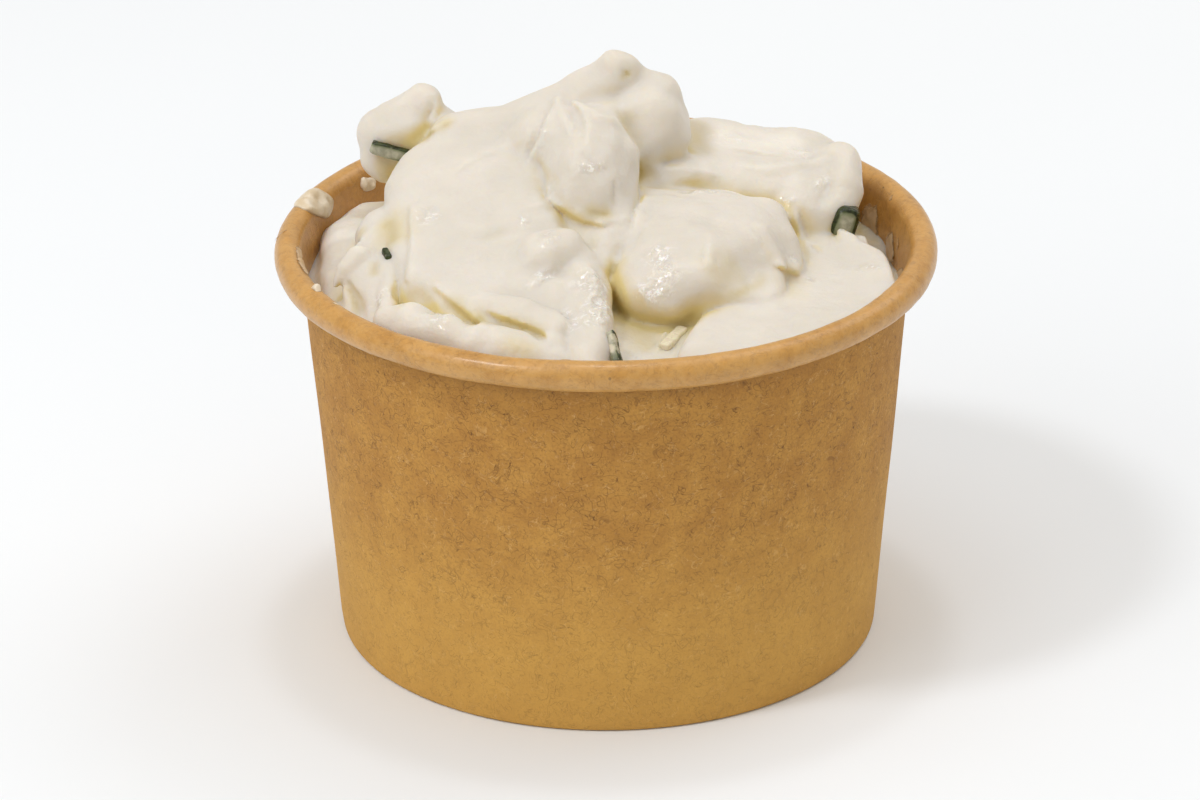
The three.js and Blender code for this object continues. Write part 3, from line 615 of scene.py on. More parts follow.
# A mark is (kind, points, width, height). A lip stands up on the left of its line and drops off on
# the right. A ridge stands up on both sides, or is a groove where its height is below 0.
MARKS = [
    # the knob and the pieces below it
    ("ridge", [(-32.4, 18.0), (-29.6, 20.6), (-27.0, 22.0)], 0.9, 0.4),
    ("lip", [(-25.2, 20.6), (-25.6, 18.4), (-26.8, 16.2)], 1.6, 0.35),
    ("ridge", [(-35.2, 13.8), (-31.2, 12.9), (-27.8, 13.4)], 1.2, -0.3),
    ("lip", [(-26.6, 14.8), (-25.2, 15.6), (-23.7, 16.3), (-21.7, 17.6)], 1.4, 0.35),
    ("lip", [(-28.6, 4.5), (-28.5, -2.0), (-29.1, -7.1), (-28.2, -8.0)], 1.8, 0.6),
    ("ridge", [(-33.6, -1.0), (-33.5, -4.0), (-33.9, -6.9)], 0.6, -0.6),
    ("ridge", [(-30.6, -7.6), (-30.4, -9.6), (-29.6, -10.6)], 0.6, -0.6),
    # the big slab at the left
    ("lip", [(-23.0, 8.4), (-18.0, 11.4), (-12.6, 13.2)], 2.6, 0.22),
    ("ridge", [(-26.4, 6.0), (-22.6, 2.6), (-18.6, -0.4)], 1.8, 0.25),
    ("ridge", [(-23.4, -4.6), (-17.0, -4.4), (-12.0, -5.2)], 1.6, -0.2),
    # the crest and the fold that hangs from the peak
    ("lip", [(-7.3, 20.6), (-8.8, 16.8), (-9.6, 14.8), (-10.4, 13.0), (-12.4, 10.0)], 1.6, 0.5),
    ("ridge", [(-7.3, 20.0), (-8.9, 16.4), (-9.8, 14.2), (-11.0, 12.0), (-12.6, 9.8)], 0.4, -0.4),
    ("ridge", [(-7.2, 20.8), (-6.6, 18.8), (-5.7, 16.4), (-4.8, 13.8)], 0.6, 0.6),
    ("ridge", [(-5.3, 18.8), (-4.2, 16.6), (-3.9, 14.0)], 1.1, -0.7),
    ("lip", [(-5.4, 20.0), (-3.6, 17.9), (-2.8, 15.8), (-2.9, 13.6), (-3.7, 12.2)], 0.9, 0.4),
    ("ridge", [(-5.2, 19.8), (-3.4, 18.7), (-0.9, 17.0), (1.6, 16.3), (3.1, 14.0), (4.0, 10.4)], 0.55, 0.5),
    ("ridge", [(-4.6, 20.8), (-2.2, 19.0), (0.4, 17.8)], 0.5, -0.35),
    ("ridge", [(-3.8, 12.3), (-2.8, 10.6), (-1.0, 9.2), (1.0, 8.7)], 0.45, -0.45),
    ("lip", [
        (-9.0, 7.6), (-8.5, 5.0), (-7.3, 3.6), (-5.3, 2.4), (-3.1, 1.3), (-0.5, 0.7), (1.5, 1.4)], 1.8, 0.55),
    ("ridge", [(1.3, 7.8), (1.3, 5.2), (1.4, 2.8)], 0.4, -0.5),
    ("ridge", [(2.6, 24.4), (3.2, 23.4), (3.4, 22.4)], 0.6, -0.45),
    ("ridge", [(2.6, 12.2), (5.6, 11.2), (9.4, 11.4)], 2.2, 1.1),
    # the shoulder below the fold
    ("ridge", [(-20.0, -1.2), (-17.1, -0.4), (-14.1, 0.2), (-11.2, 0.5)], 1.2, -0.45),
    ("ridge", [(-13.0, 2.8), (-9.7, 3.0), (-6.7, 3.2)], 0.8, -0.35),
    # the spur's left side melts into the slab
    ("ridge", [(-6.4, -6.6), (-6.9, -10.0), (-6.9, -13.5), (-6.7, -17.2)], 1.9, 0.9),
    ("ridge", [(-2.0, -9.0), (-3.4, -12.4), (-3.6, -16.4)], 0.7, 0.3),
    # lips along the front left
    ("lip", [(-25.5, -7.7), (-23.4, -9.5), (-21.2, -11.4), (-19.0, -13.1), (-17.5, -13.8)], 2.0, 0.5),
    ("ridge", [(-24.2, -9.8), (-21.4, -12.0), (-18.6, -14.2)], 0.8, -0.3),
    ("ridge", [(-20.8, -10.4), (-19.2, -11.8), (-17.4, -13.6)], 0.6, 0.6),
    ("ridge", [(-17.6, -13.8), (-17.4, -16.0), (-17.6, -18.0)], 0.7, -0.4),
    ("lip", [
        (-18.3, -11.2), (-16.4, -12.2), (-13.8, -13.3),
        (-11.0, -14.2), (-9.0, -15.2), (-7.6, -16.6)], 2.0, 0.55),
    ("ridge", [(-16.6, -12.9), (-13.0, -14.2), (-10.0, -15.3), (-8.4, -16.9)], 0.6, -0.5),
    # a strand of cucumber flesh in the gap beside the bank
    ("ridge", [(10.4, -12.6), (8.2, -15.4), (6.6, -18.4)], 0.45, 0.4),
    # the mound's top edge, the drip beside it and its lower edge
    ("lip", [(13.0, 4.6), (9.4, 5.4), (5.6, 5.4), (4.4, 2.6), (3.4, -1.0)], 1.6, 0.4),
    ("ridge", [(28.7, 1.4), (29.9, -1.6), (32.0, -3.8)], 0.4, -0.45),
    ("ridge", [(19.4, 1.0), (21.4, -1.2), (23.0, -2.6)], 0.5, 0.3),
    ("lip", [(14.6, -1.6), (14.0, -4.4), (14.6, -6.8)], 1.4, 0.3),
    ("lip", [(31.7, -2.3), (29.6, -0.9), (28.7, 1.7), (28.3, 4.2)], 1.8, 0.7),
    ("lip", [(23.7, -4.8), (25.7, -5.8), (28.0, -6.6), (28.6, -5.1)], 1.6, 0.5),
    # the block's ledges
    ("ridge", [(5.1, 7.0), (9.5, 6.9), (13.9, 6.9), (19.8, 6.4)], 0.8, -0.6),
    ("ridge", [(6.5, 11.5), (11.0, 11.9), (14.7, 11.2)], 0.8, 0.4),
    ("ridge", [(5.6, 9.1), (9.6, 9.4), (14.2, 9.1), (18.5, 8.4)], 0.5, 0.3),
    ("ridge", [(19.1, 10.4), (22.1, 9.7), (25.3, 9.4), (29.4, 10.3), (32.4, 10.9), (34.0, 12.1)], 0.9, 0.4),
    ("ridge", [(34.0, 12.3), (33.6, 9.4), (32.8, 6.4), (31.4, 2.7)], 1.1, -0.5),
    ("lip", [(16.4, 13.6), (20.0, 12.4), (24.6, 11.6), (28.0, 11.4)], 1.2, 0.3),
    ("ridge", [(18.6, 15.4), (22.4, 14.9), (26.0, 13.8)], 0.9, -0.25),
]


# Where whey has gathered, or the yogurt is thin enough to look green, and painted shade in creases and under
# overhangs: (points, width, strength).
WHEY_AND_SHADE = [
    ([(1.4, -10.8), (7.0, -12.6), (9.6, -13.0)], 1.8, 0.7),
    ([(13.6, -10.6), (11.0, -14.0), (8.0, -17.6)], 1.6, 0.9),
    ([(3.0, -13.0), (5.0, -16.0), (6.0, -18.5)], 3.0, 0.55),
    ([(1.6, -4.0), (0.5, -7.0)], 1.3, 1.0),
    ([(13.9, -10.4), (18.6, -9.6), (22.0, -8.0), (23.6, -5.6)], 1.0, 0.6),
    ([(13.5, -7.5), (18.0, -6.0), (20.0, -4.6)], 3.0, 0.5),
    ([(-3.8, 3.2), (-0.2, 2.5), (1.3, 3.6)], 1.1, 0.9),
    ([(25.5, -5.6), (29.0, -7.0)], 1.2, 0.6),
    ([(3.0, 19.0), (2.8, 17.0), (3.4, 14.6), (5.6, 11.8)], 1.4, 0.6),
    ([(12.6, 13.2), (13.2, 12.6)], 0.8, 1.0),
    ([(2.9, 24.2), (3.8, 22.8)], 1.0, 1.0),
    ([(-28.0, 14.1), (-25.9, 15.2), (-23.7, 16.3), (-21.7, 17.6)], 1.0, 0.9),
    ([(-36.4, 0.6), (-35.4, -0.8)], 1.2, 0.6),
    ([(-34.4, 0.9), (-31.4, 1.2), (-30.4, -2.6)], 2.8, 0.8),
    ([(-33.6, -3.6), (-33.8, -7.0)], 0.8, 0.7),
    ([(-38.6, -6.6), (-37.0, -8.8), (-35.6, -12.4)], 1.1, 0.8),
    ([(-29.6, -10.6), (-28.8, -11.6)], 1.2, 0.6),
    ([(-23.4, -9.5), (-19.0, -13.1), (-17.5, -13.9)], 1.2, 0.8),
    ([(-16.4, -13.0), (-11.0, -14.3), (-8.2, -16.0)], 1.1, 0.9),
    ([(-20.4, -12.0), (-18.4, -13.2), (-17.6, -13.9)], 1.6, 1.0),
    ([(-16.0, -15.6), (-12.0, -17.4), (-9.0, -18.2)], 2.0, 0.6),
    ([(-18.5, -0.6), (-14.0, 0.0)], 1.0, 0.3),
    ([(5.2, 6.9), (12.0, 7.0)], 0.9, 0.4),
]


# Where the surface is torn, wet and glossy, with painted white glints: (points, width, strength).
WET = [
    ([(-3.4, -5.2), (-1.4, -8.0), (-0.8, -11.5), (-1.8, -14.6)], 2.2, 1.0),
    ([(-10.0, -6.0), (-8.2, -7.9)], 1.6, 0.9),
    ([(6.6, -2.0), (8.4, -4.8), (8.8, -7.4), (6.9, -9.0), (3.6, -9.0)], 1.7, 1.0),
    ([(-26.6, -10.9), (-24.0, -12.2), (-21.4, -13.6)], 2.0, 0.9),
    ([(-13.0, 1.5), (-11.0, 1.1)], 1.0, 0.8),
    ([(-9.6, -0.4), (-7.0, -2.0)], 1.5, 0.9),
    ([(-26.8, 3.8), (-25.2, 1.0)], 1.7, 0.8),
    ([(-4.4, 10.2), (-2.0, 9.3), (0.6, 9.1)], 1.0, 0.8),
    ([(-7.9, 6.8), (-7.2, 4.8)], 1.0, 0.7),
    ([(9.5, 5.9), (14.6, 6.1), (21.2, 4.9)], 0.9, 0.8),
    ([(25.6, 5.2), (28.2, 4.3)], 0.9, 0.7),
    ([(27.2, -3.4), (27.4, -5.2)], 0.9, 0.8),
    ([(-6.2, -12.2), (-4.4, -15.2)], 1.4, 0.8),
    ([(28.6, -7.4), (30.8, -7.5)], 0.7, 0.8),
    ([(35.8, -6.2), (38.8, -5.5), (40.6, -6.2)], 0.9, 0.7),
    ([(31.0, 7.9), (33.0, 7.0)], 1.6, 0.7),
    ([(26.6, 12.6), (29.4, 12.0), (31.2, 12.4)], 1.5, 0.6),
    ([(-36.6, -1.2), (-35.4, -2.6)], 1.1, 0.8),
    ([(-31.0, -8.0), (-33.8, -12.0)], 1.0, 0.8),
    ([(-9.8, 16.2), (-8.2, 14.6)], 1.0, 0.6),
    ([(15.0, 14.8), (22.0, 13.6)], 1.6, 0.5),
]


# Where painted light is laid on the yogurt, which also takes away most of the painted shade in its dips:
# (points, width, strength).
PAINTED_LIGHT_STROKES = [
    ([(-39.0, -1.0), (-38.6, 4.0), (-37.0, 9.0)], 4.5, 1.0),
    ([(3.0, 17.4), (6.0, 15.0), (7.6, 12.4)], 4.2, 1.0),
    ([(14.0, 14.6), (22.0, 14.0), (31.0, 13.2)], 3.6, 0.9),
    ([(13.0, 9.6), (20.0, 8.4), (30.0, 7.6)], 3.4, 0.6),
    ([(20.0, -13.0), (28.0, -9.6), (36.0, -5.0)], 5.0, 0.2),
]


def placed(marks):
    """The marks' points, carried along the view until they meet the spoonfuls."""
    flat = np.array([point for _, line, _, _ in marks for point in line])
    away, steps, share = 60, 80, 0.7
    start = flat[:, :1] * LOOK_ASIDE + flat[:, 1:] * LOOK_UP - away * LOOK_ALONG + (0, 0, TUB_HEIGHT)
    travel = np.zeros(len(flat))
    for _ in range(steps):
        travel += share * masses_distance(start + travel[:, None] * LOOK_ALONG)
    met = iter(start + travel[:, None] * LOOK_ALONG)
    return [(kind, np.array([next(met) for _ in line]), width, height) for kind, line, width, height in marks]


def strokes(lines):
    """Broad strokes, from lines of (points, width, strength)."""
    return placed([("ridge", *line) for line in lines])


def eased(share):
    """0 to 1, with a soft start and end."""
    share = np.clip(share, 0, 1)
    return share * share * (3 - 2 * share)


def near_line(points, line, width):
    """Which points are near enough to a line for a mark along it to change them."""
    centre = line.mean(axis=0)
    reach = np.linalg.norm(line - centre, axis=1).max() + 2.2 * width
    return np.linalg.norm(points - centre, axis=1) < reach


# A mark tapers over this length at each end. A lip drops over this width into a crease, which is this
# share of the lip's width and of its height.
MARK_TAPER = 2.5
LIP_DROP = 0.9
CREASE_WIDTH = 0.4
CREASE_DEPTH = 0.55


def marked(points, kind, line, width, height):
    """How far one mark lifts the surface at each point."""
    nearest = np.full(len(points), np.inf)
    lift = np.zeros(len(points))
    lengths = np.linalg.norm(np.diff(line, axis=0), axis=1)
    whole = lengths.sum()
    done = 0.0
    for start, end, length in zip(line, line[1:], lengths):
        along = (end - start) / length
        offset = points - start
        share = np.clip(offset @ along, 0, length)
        away = offset - share[:, None] * along
        reach = np.linalg.norm(away, axis=1)
        shape = np.exp(-(reach / width) ** 2)
        if kind == "lip":
            left = np.cross(-LOOK_ALONG, along)
            side = eased(away @ left / np.linalg.norm(left) / LIP_DROP + 0.5)
            crease = np.exp(-(reach / (CREASE_WIDTH * width)) ** 2)
            shape = side * shape - CREASE_DEPTH * (1 - side) * crease
        taper = eased(np.minimum(done + share, whole - done - share) / min(MARK_TAPER, whole / 3))
        closer = reach < nearest
        nearest[closer] = reach[closer]
        lift[closer] = (height * taper * shape)[closer]
        done += length
    return lift


def painted(points, lines):
    """How strongly each point is covered by strokes."""
    amount = np.zeros(len(points))
    for kind, line, width, strength in lines:
        near = near_line(points, line, width)
        amount[near] = np.maximum(amount[near], marked(points[near], kind, line, width, strength))
    return amount


drawn_marks = placed(MARKS)
wet_strokes = strokes(WET)


def heap_distance(points):
    """Distance from points, in millimetres in the tub's frame, to the heap's surface, negative inside."""
    distance = masses_distance(points)
    for kind, line, width, height in drawn_marks:
        near = near_line(points, line, width)
        distance[near] -= marked(points[near], kind, line, width, height)
    uneven = 0.18 * noise(points, 3.6, 34)
    ripples = 0.12 * noise(points, 1.9, 31) + 0.05 * noise(points, 0.95, 32)
    ripples *= np.clip(0.5 + 1.2 * noise(points, 13.0, 33), 0.15, 1)
    torn = painted(points, wet_strokes) * (0.42 * noise(points, 1.7, 35) + 0.2 * noise(points, 0.9, 36))
    # the back of the heap was left less smooth than the rest
    lumps = np.clip((points[:, 1] - 26) / 6, 0, 1) * 0.7 * noise(points, 7.0, 37)
    return distance + uneven - ripples - torn - lumps


def heap_grid():
    """Distances on the grid: worked out near the surface, and filled in from a coarse grid elsewhere."""
    coarse, surface_band = 4, 2.6
    count = HEAP_CELLS // coarse + 1
    nodes = np.stack(np.meshgrid(*(np.arange(n) for n in count), indexing="ij"), axis=-1).reshape(-1, 3)
    grid = heap_distance(HEAP_CORNER + nodes * HEAP_CELL * coarse).reshape(count)
    for axis in range(3):
        fine = np.linspace(0, count[axis] - 1, HEAP_CELLS[axis] + 1)
        below = np.minimum(fine.astype(int), count[axis] - 2)
        share = (fine - below).reshape([-1 if a == axis else 1 for a in range(3)])
        grid = np.take(grid, below, axis) * (1 - share) + np.take(grid, below + 1, axis) * share
    near = np.argwhere(np.abs(grid) < surface_band)
    grid[tuple(near.T)] = heap_distance(HEAP_CORNER + near * HEAP_CELL)
    for axis in range(3):
        for end in (0, -1):
            np.moveaxis(grid, axis, 0)[end] = HEAP_CELL
    return grid


def fill_pinches(grid):
    """Fills one outer corner wherever the surface would pinch to a line across a grid square."""
    while True:
        pinches = 0
        for axis in range(3):
            view = np.moveaxis(grid, axis, 0)
            inside = view < 0
            a, b = inside[:, :-1, :-1], inside[:, 1:, :-1]
            c, d = inside[:, 1:, 1:], inside[:, :-1, 1:]
            crossed = np.argwhere((a == c) & (b == d) & (a != b))
            for i, j, k in crossed:
                corner = (i, j + 1, k) if inside[i, j, k] else (i, j, k)
                view[corner] = -HEAP_CELL / 10
            pinches += len(crossed)
        if not pinches:
            return


def surface_net(grid):
    """One vertex in each grid cell that the surface passes through, one face round each edge it crosses."""
    inside = grid < 0
    corners = list(np.ndindex(2, 2, 2))
    room = [n - 1 for n in grid.shape]
    views = [inside[i:i + room[0], j:j + room[1], k:k + room[2]] for i, j, k in corners]
    cells = np.argwhere(np.logical_or.reduce(views) & ~np.logical_and.reduce(views))
    number = np.full(room, -1)
    number[tuple(cells.T)] = np.arange(len(cells))
    values = [grid[tuple((cells + corner).T)] for corner in corners]
    place = np.zeros((len(cells), 3))
    hits = np.zeros(len(cells))
    for m, a in enumerate(corners):
        for n, b in enumerate(corners):
            if m < n and np.abs(np.subtract(a, b)).sum() == 1:
                cross = (values[m] < 0) != (values[n] < 0)
                share = values[m][cross] / (values[m][cross] - values[n][cross])
                place[cross] += a + np.subtract(b, a) * share[:, None]
                hits[cross] += 1
    points = HEAP_CORNER + (cells + place / hits[:, None]) * HEAP_CELL
    faces = []
    unit = np.eye(3, dtype=int)
    for axis in range(3):
        u, v = unit[(axis + 1) % 3], unit[(axis + 2) % 3]
        view = np.moveaxis(inside, axis, 0)
        edge = np.argwhere(np.moveaxis(view[:-1] != view[1:], 0, axis))
        ring = np.stack([number[tuple((edge - s).T)] for s in (0 * u, u, u + v, v)], axis=1)
        outside = ~inside[tuple(edge.T)]
        ring[outside] = ring[outside][:, ::-1]
        faces.append(ring)
    return points, np.concatenate(faces)


def slope_of(points, reach=0.2):
    """Which way the distance grows at each point, and how fast."""
    slope = np.stack([
        heap_distance(points + reach * side) - heap_distance(points - reach * side) for side in np.eye(3)
    ], axis=1)
    return slope / (2 * reach)


def carved(name, points, faces, room_points, room_faces):
    """The mesh of points and faces, cut off where it leaves the room."""
    made = []
    for label, outline in ((name, (points, faces)), (name + " room", (room_points, room_faces))):
        mesh = new_mesh(label, *outline)
        mesh.validate()
        thing = bpy.data.objects.new(label, mesh)
        bpy.context.scene.collection.objects.link(thing)
        made.append(thing)
    heap, room = made
    cut = heap.modifiers.new("cut", "BOOLEAN")
    cut.operation = "INTERSECT"
    cut.solver = "MANIFOLD"
    cut.object = room
    bpy.context.view_layer.update()
    result = bpy.data.meshes.new_from_object(heap.evaluated_get(bpy.context.evaluated_depsgraph_get()))
    for thing in made:
        bpy.data.objects.remove(thing)
    return result


grid = heap_grid()
fill_pinches(grid)
heap_points, heap_faces = surface_net(grid)
bottom = heap_points[:, 2] < HEAP_CORNER[2] + 1.5 * HEAP_CELL
heap_points[bottom, 2] = 0.0

# one more step towards the true surface, for the points that lie on it
on_surface = heap_points[~bottom]
heap_slope = slope_of(on_surface)
steepness = np.maximum(np.linalg.norm(heap_slope, axis=1), 0.3)
miss = np.clip(heap_distance(on_surface) / steepness ** 2, -HEAP_CELL / 2, HEAP_CELL / 2)
heap_points[~bottom] -= heap_slope * miss[:, None]

# the dip clings to the wall, sunk a tenth of a millimetre into it, and stands just clear of the base
room_floor = FLOOR_HEIGHT + PAPER + GAP
room_top = HEAP_CORNER[2] + HEAP_CELLS[2] * HEAP_CELL
pressed_in = PAPER - 0.1
room_profile = [(0, room_floor), (wall_radius(room_floor, pressed_in + GAP), room_floor)]
room_profile += [(wall_radius(z, pressed_in), z) for z in (room_floor + 1, 30.0, room_top)]
room_profile += [(0, room_top)]
heap_mesh = carved("tzatziki_heap", heap_points, heap_faces, *turned(room_profile, 240))


def mesh_points(mesh, field="co"):
    """The places or the normals of a mesh's points."""
    data = np.empty(len(mesh.vertices) * 3)
    mesh.vertices.foreach_get(field, data)
    return data.reshape(-1, 3)


surface = mesh_points(heap_mesh) / MM
normals = mesh_points(heap_mesh, "normal")
# how open the air is over each point, looked for near to the surface and further off
openness = {reach: heap_distance(surface + reach * normals) / reach for reach in (2.0, 4.0, 7.0)}
give(heap_mesh, "crease", np.clip(1 - (openness[2.0] + openness[4.0]) / 2, 0, 1))
give(heap_mesh, "hollow", np.clip(1 - openness[7.0], 0, 1))
for label, lines in (("whey_and_shade", strokes(WHEY_AND_SHADE)), ("wet", wet_strokes), ("painted_light", strokes(PAINTED_LIGHT_STROKES))):
    give(heap_mesh, label, painted(surface, lines))


def stored(paint, label):
    """A number stored for each point of the mesh."""
    return paint.node("Attribute", {"attribute_name": label}, {}, out=2)


def own_place(paint):
    """The place on a piece, in millimetres."""
    in_metres = paint.node("TexCoord", {}, {}, out=3)
    return paint.node("VectorMath", {"operation": "SCALE"}, {0: in_metres, "Scale": 1 / MM})


yogurt, paint = new_material("strained yogurt")
crease, hollow, whey_and_shade, wet, painted_light = (
    stored(paint, label) for label in ("crease", "hollow", "whey_and_shade", "wet", "painted_light")
)
place = own_place(paint)
cloud = place.noise(9.0, 3.0, shift=4.0)
curd = place.noise(0.9, 3.0, 0.6, shift=12.0)
uneven = place.noise(2.6, 3.0, shift=21.0) - 0.5
gloss = place.noise(6.0, 2.0, shift=33.0).step(0.42, 0.62)
painted_sparkle = place.noise(0.75, 2.0, 0.6, 0.5, shift=52.0).step(0.52, 0.6)
painted_sparkle *= place.noise(2.6, shift=74.0).step(0.46, 0.56)
cream = laid(cloud.step(0.35, 0.65).mix(rgb(216, 211, 202), rgb(221, 216, 208)), [
    # painted shade: a warm darkening in hollows and creases, where the air over the surface is closed in; in
    # the creases it partly stands for whey gathered there
    (hollow.step(0.2, 0.85) * (0.75 - painted_light * 0.7), rgb(220, 206, 170)),
    (crease.step(0.4, 0.9) * (0.75 - painted_light * 0.4), rgb(222, 206, 146)),
    # painted light, laid where the yogurt stands in shade
    (painted_light * 0.8, rgb(240, 236, 229)),
    # whey, and painted shade in creases and under overhangs, darker where it is strongest
    (whey_and_shade * (0.75 + uneven * 0.9), rgb(206, 190, 138)),
    (whey_and_shade.step(0.6, 1.0) * 0.5, rgb(184, 166, 116)),
    # painted glints: white specks in the wet strokes
    (wet * painted_sparkle * 0.9, rgb(250, 250, 250)),
])
relief = curd * 0.6 + place.noise(2.4, 2.0, shift=2.0) + wet * place.noise(0.8, 2.0, shift=27.0) * 3
finish_material(
    paint, cream, 0.48 - gloss * 0.08 - wet * 0.2, (relief, 0.16 * MM),
    Coat_Weight=wet, Coat_Roughness=0.1, Coat_IOR=1.6,
    Subsurface_Weight=0.6, Subsurface_Radius=(1.0, 0.78, 0.5), Subsurface_Scale=4 * MM, IOR=1.38,
)
heap_mesh.materials.clear()
heap_mesh.materials.append(yogurt)
tzatziki_heap = finished_piece("tzatziki_heap", heap_mesh)
heap_mesh.set_sharp_from_angle(angle=math.radians(50))
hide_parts("tzatziki")


# ---- Cucumber ----------------------------------------------------------------------------------
# Diced cucumber stirred into the yogurt: firm, wet, pale flesh with a band of dark green skin on one
# long side. Only the pieces at the surface show, each sunk part way.

# Each has its size across, out to the skin and along, its middle, the way that its length and its
# skin face, and how thickly the yogurt coats it.
CUCUMBER = {
    "back": dict(size=(2.4, 1.9, 7.6), at=(-31.2, 13.0, 7.8), along=(1, -0.12, -0.24), skin=(0.3, 0.1, 1),
                 more_skin=[(0, -0.6, 0.85)], film=0.3),
    "right": dict(size=(3.8, 4.9, 6.0), at=(35.5, 6.2, -0.9), along=(0, -1, 0.1), skin=(0.3, 0, 1),
                  more_skin=[(1, 0, 0), (-1, 0, 0)], edge=1.2, film=0.1),
    "front": dict(size=(1.7, 1.3, 6.4), at=(1.1, -36.8, -2.8), along=(-0.2, 0.8, 0.6), skin=(0.9, -0.2, 0.2),
                  more_skin=[(0.3, 0, -0.8)], film=0.45),
    "left": dict(size=(1.0, 2.2, 3.4), at=(-32.1, -13.6, 1.6), along=(0.16, -0.3, 1), skin=(0.4, -1, 0),
                 more_skin=[(0, 0, 1), (1, 0, 0), (-1, 0, 0)], film=0.2),
    "shred": dict(size=(1.8, 1.2, 7.4), at=(9.6, -27.6, -4.9), along=(-0.44, -1, 0.0), skin=(0, 0, -1),
                  film=1.1),
}


def dice(size, at, along, skin, film, more_skin=(), edge=0.45):
    """A cut piece with softened edges and a crowned skin side. Returns its points, faces and attributes."""
    cuts, crown, knocks = 14, 0.12, 0.12
    cube = bmesh.new()
    bmesh.ops.create_cube(cube, size=2.0)
    bmesh.ops.subdivide_edges(cube, edges=cube.edges[:], cuts=cuts, use_grid_fill=True)
    own = np.array([v.co[:] for v in cube.verts])
    faces = [[v.index for v in f.verts] for f in cube.faces]
    cube.free()
    half = np.array(size) / 2
    edge = min(edge, min(half) * 0.7)
    core = np.clip(own * half, -(half - edge), half - edge)
    away = own * half - core
    length = np.linalg.norm(away, axis=1)[:, None]
    box = core + away / np.maximum(length, 1e-9) * np.minimum(length, edge)
    box[:, 1] += crown * half[0] * (1 - (box[:, 0] / half[0]) ** 2) * (own[:, 1] > 0)
    way = Vector(along).normalized()
    out = Vector(skin)
    out = (out - way * out.dot(way)).normalized()
    turn = np.array([out.cross(way)[:], out[:], way[:]])
    points = box @ turn + at + (0, 0, TUB_HEIGHT)
    points += knocks * np.stack([noise(points, 1.3, 50 + n) for n in range(3)], axis=1)
    depth = np.max([own @ side for side in [(0, 1, 0), *more_skin]], axis=0)
    return points, faces, {"depth": depth, "film": np.full(len(points), film)}


cucumber, paint = new_material("cucumber")
depth, film = stored(paint, "depth"), stored(paint, "film")
place = own_place(paint)
to_skin = depth + (place.noise(1.2, 2.0, shift=6.0) - 0.5) * 0.25
peel = place.noise(0.7, 3.0, shift=15.0).step(0.3, 0.75).mix(rgb(30, 38, 18), rgb(62, 72, 38))
flesh = place.noise(0.9, 3.0, shift=25.0).step(0.3, 0.7).mix(rgb(150, 150, 132), rgb(186, 184, 164))
coated = (place.noise(1.6, 3.0, shift=41.0) + film * 0.8 - 0.4).step(0.42, 0.56) * (0.3 + film * 0.6)
green = laid(flesh, [
    (to_skin.step(0.2, 0.75), rgb(112, 118, 88)),
    (to_skin.step(0.66, 0.84), peel),
    (coated, rgb(226, 218, 194)),
])
finish_material(
    paint, green, 0.22 + place.noise(1.0, shift=9.0) * 0.1, (place.noise(0.5, 2.0, shift=7.0), 0.1 * MM),
    Subsurface_Weight=0.15, Subsurface_Radius=(0.6, 1.0, 0.4), Subsurface_Scale=1.2 * MM, IOR=1.36,
)

for label, shape in CUCUMBER.items():
    dice_points, dice_faces, dice_marks = dice(**shape)
    piece = new_piece("cucumber_dice_" + label, dice_points, dice_faces, cucumber, dice_marks)
    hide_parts("cucumber_" + label)


# ---- Smears ------------------------------------------------------------------------------------
# Yogurt that the spoon has left on the rim and on the wall above the filling: thick dabs, and films
# thin enough for the board to show through.

# Each is (degrees round the tub, millimetres up the sheet from where the roll starts, half length
# along the rim, half width, turn in degrees, thickness).
SMEARS = {
    "back_left": (162, 1.6, 4.2, 2.2, 30, 1.1),
    "rim_line": (178, 4.2, 1.3, 0.35, 70, 0.25),
    "rim_left": (189, 1.5, 6.4, 0.9, 3, 0.35),
    "crumb_one": (205.5, 2.6, 1.0, 0.6, 10, 0.7),
    "crumb_two": (212.8, 2.4, 0.7, 0.4, -20, 0.5),
    "under_knob": (144, -0.4, 1.7, 1.1, 20, 0.9),
    "front_film": (263, 2.2, 1.6, 0.5, 3, 0.3),
    "right_wall": (25, -5.0, 3.0, 4.4, -12, 0.36),
    "right_low": (15, -5.6, 2.4, 3.6, -20, 0.36),
    "right_edge": (5, -6.6, 4.5, 1.0, -24, 0.32),
    "right_dot": (19, 1.2, 0.6, 0.5, 0, 0.25),
    "right_dab": (10.5, -3.4, 0.5, 1.2, 8, 0.25),
}


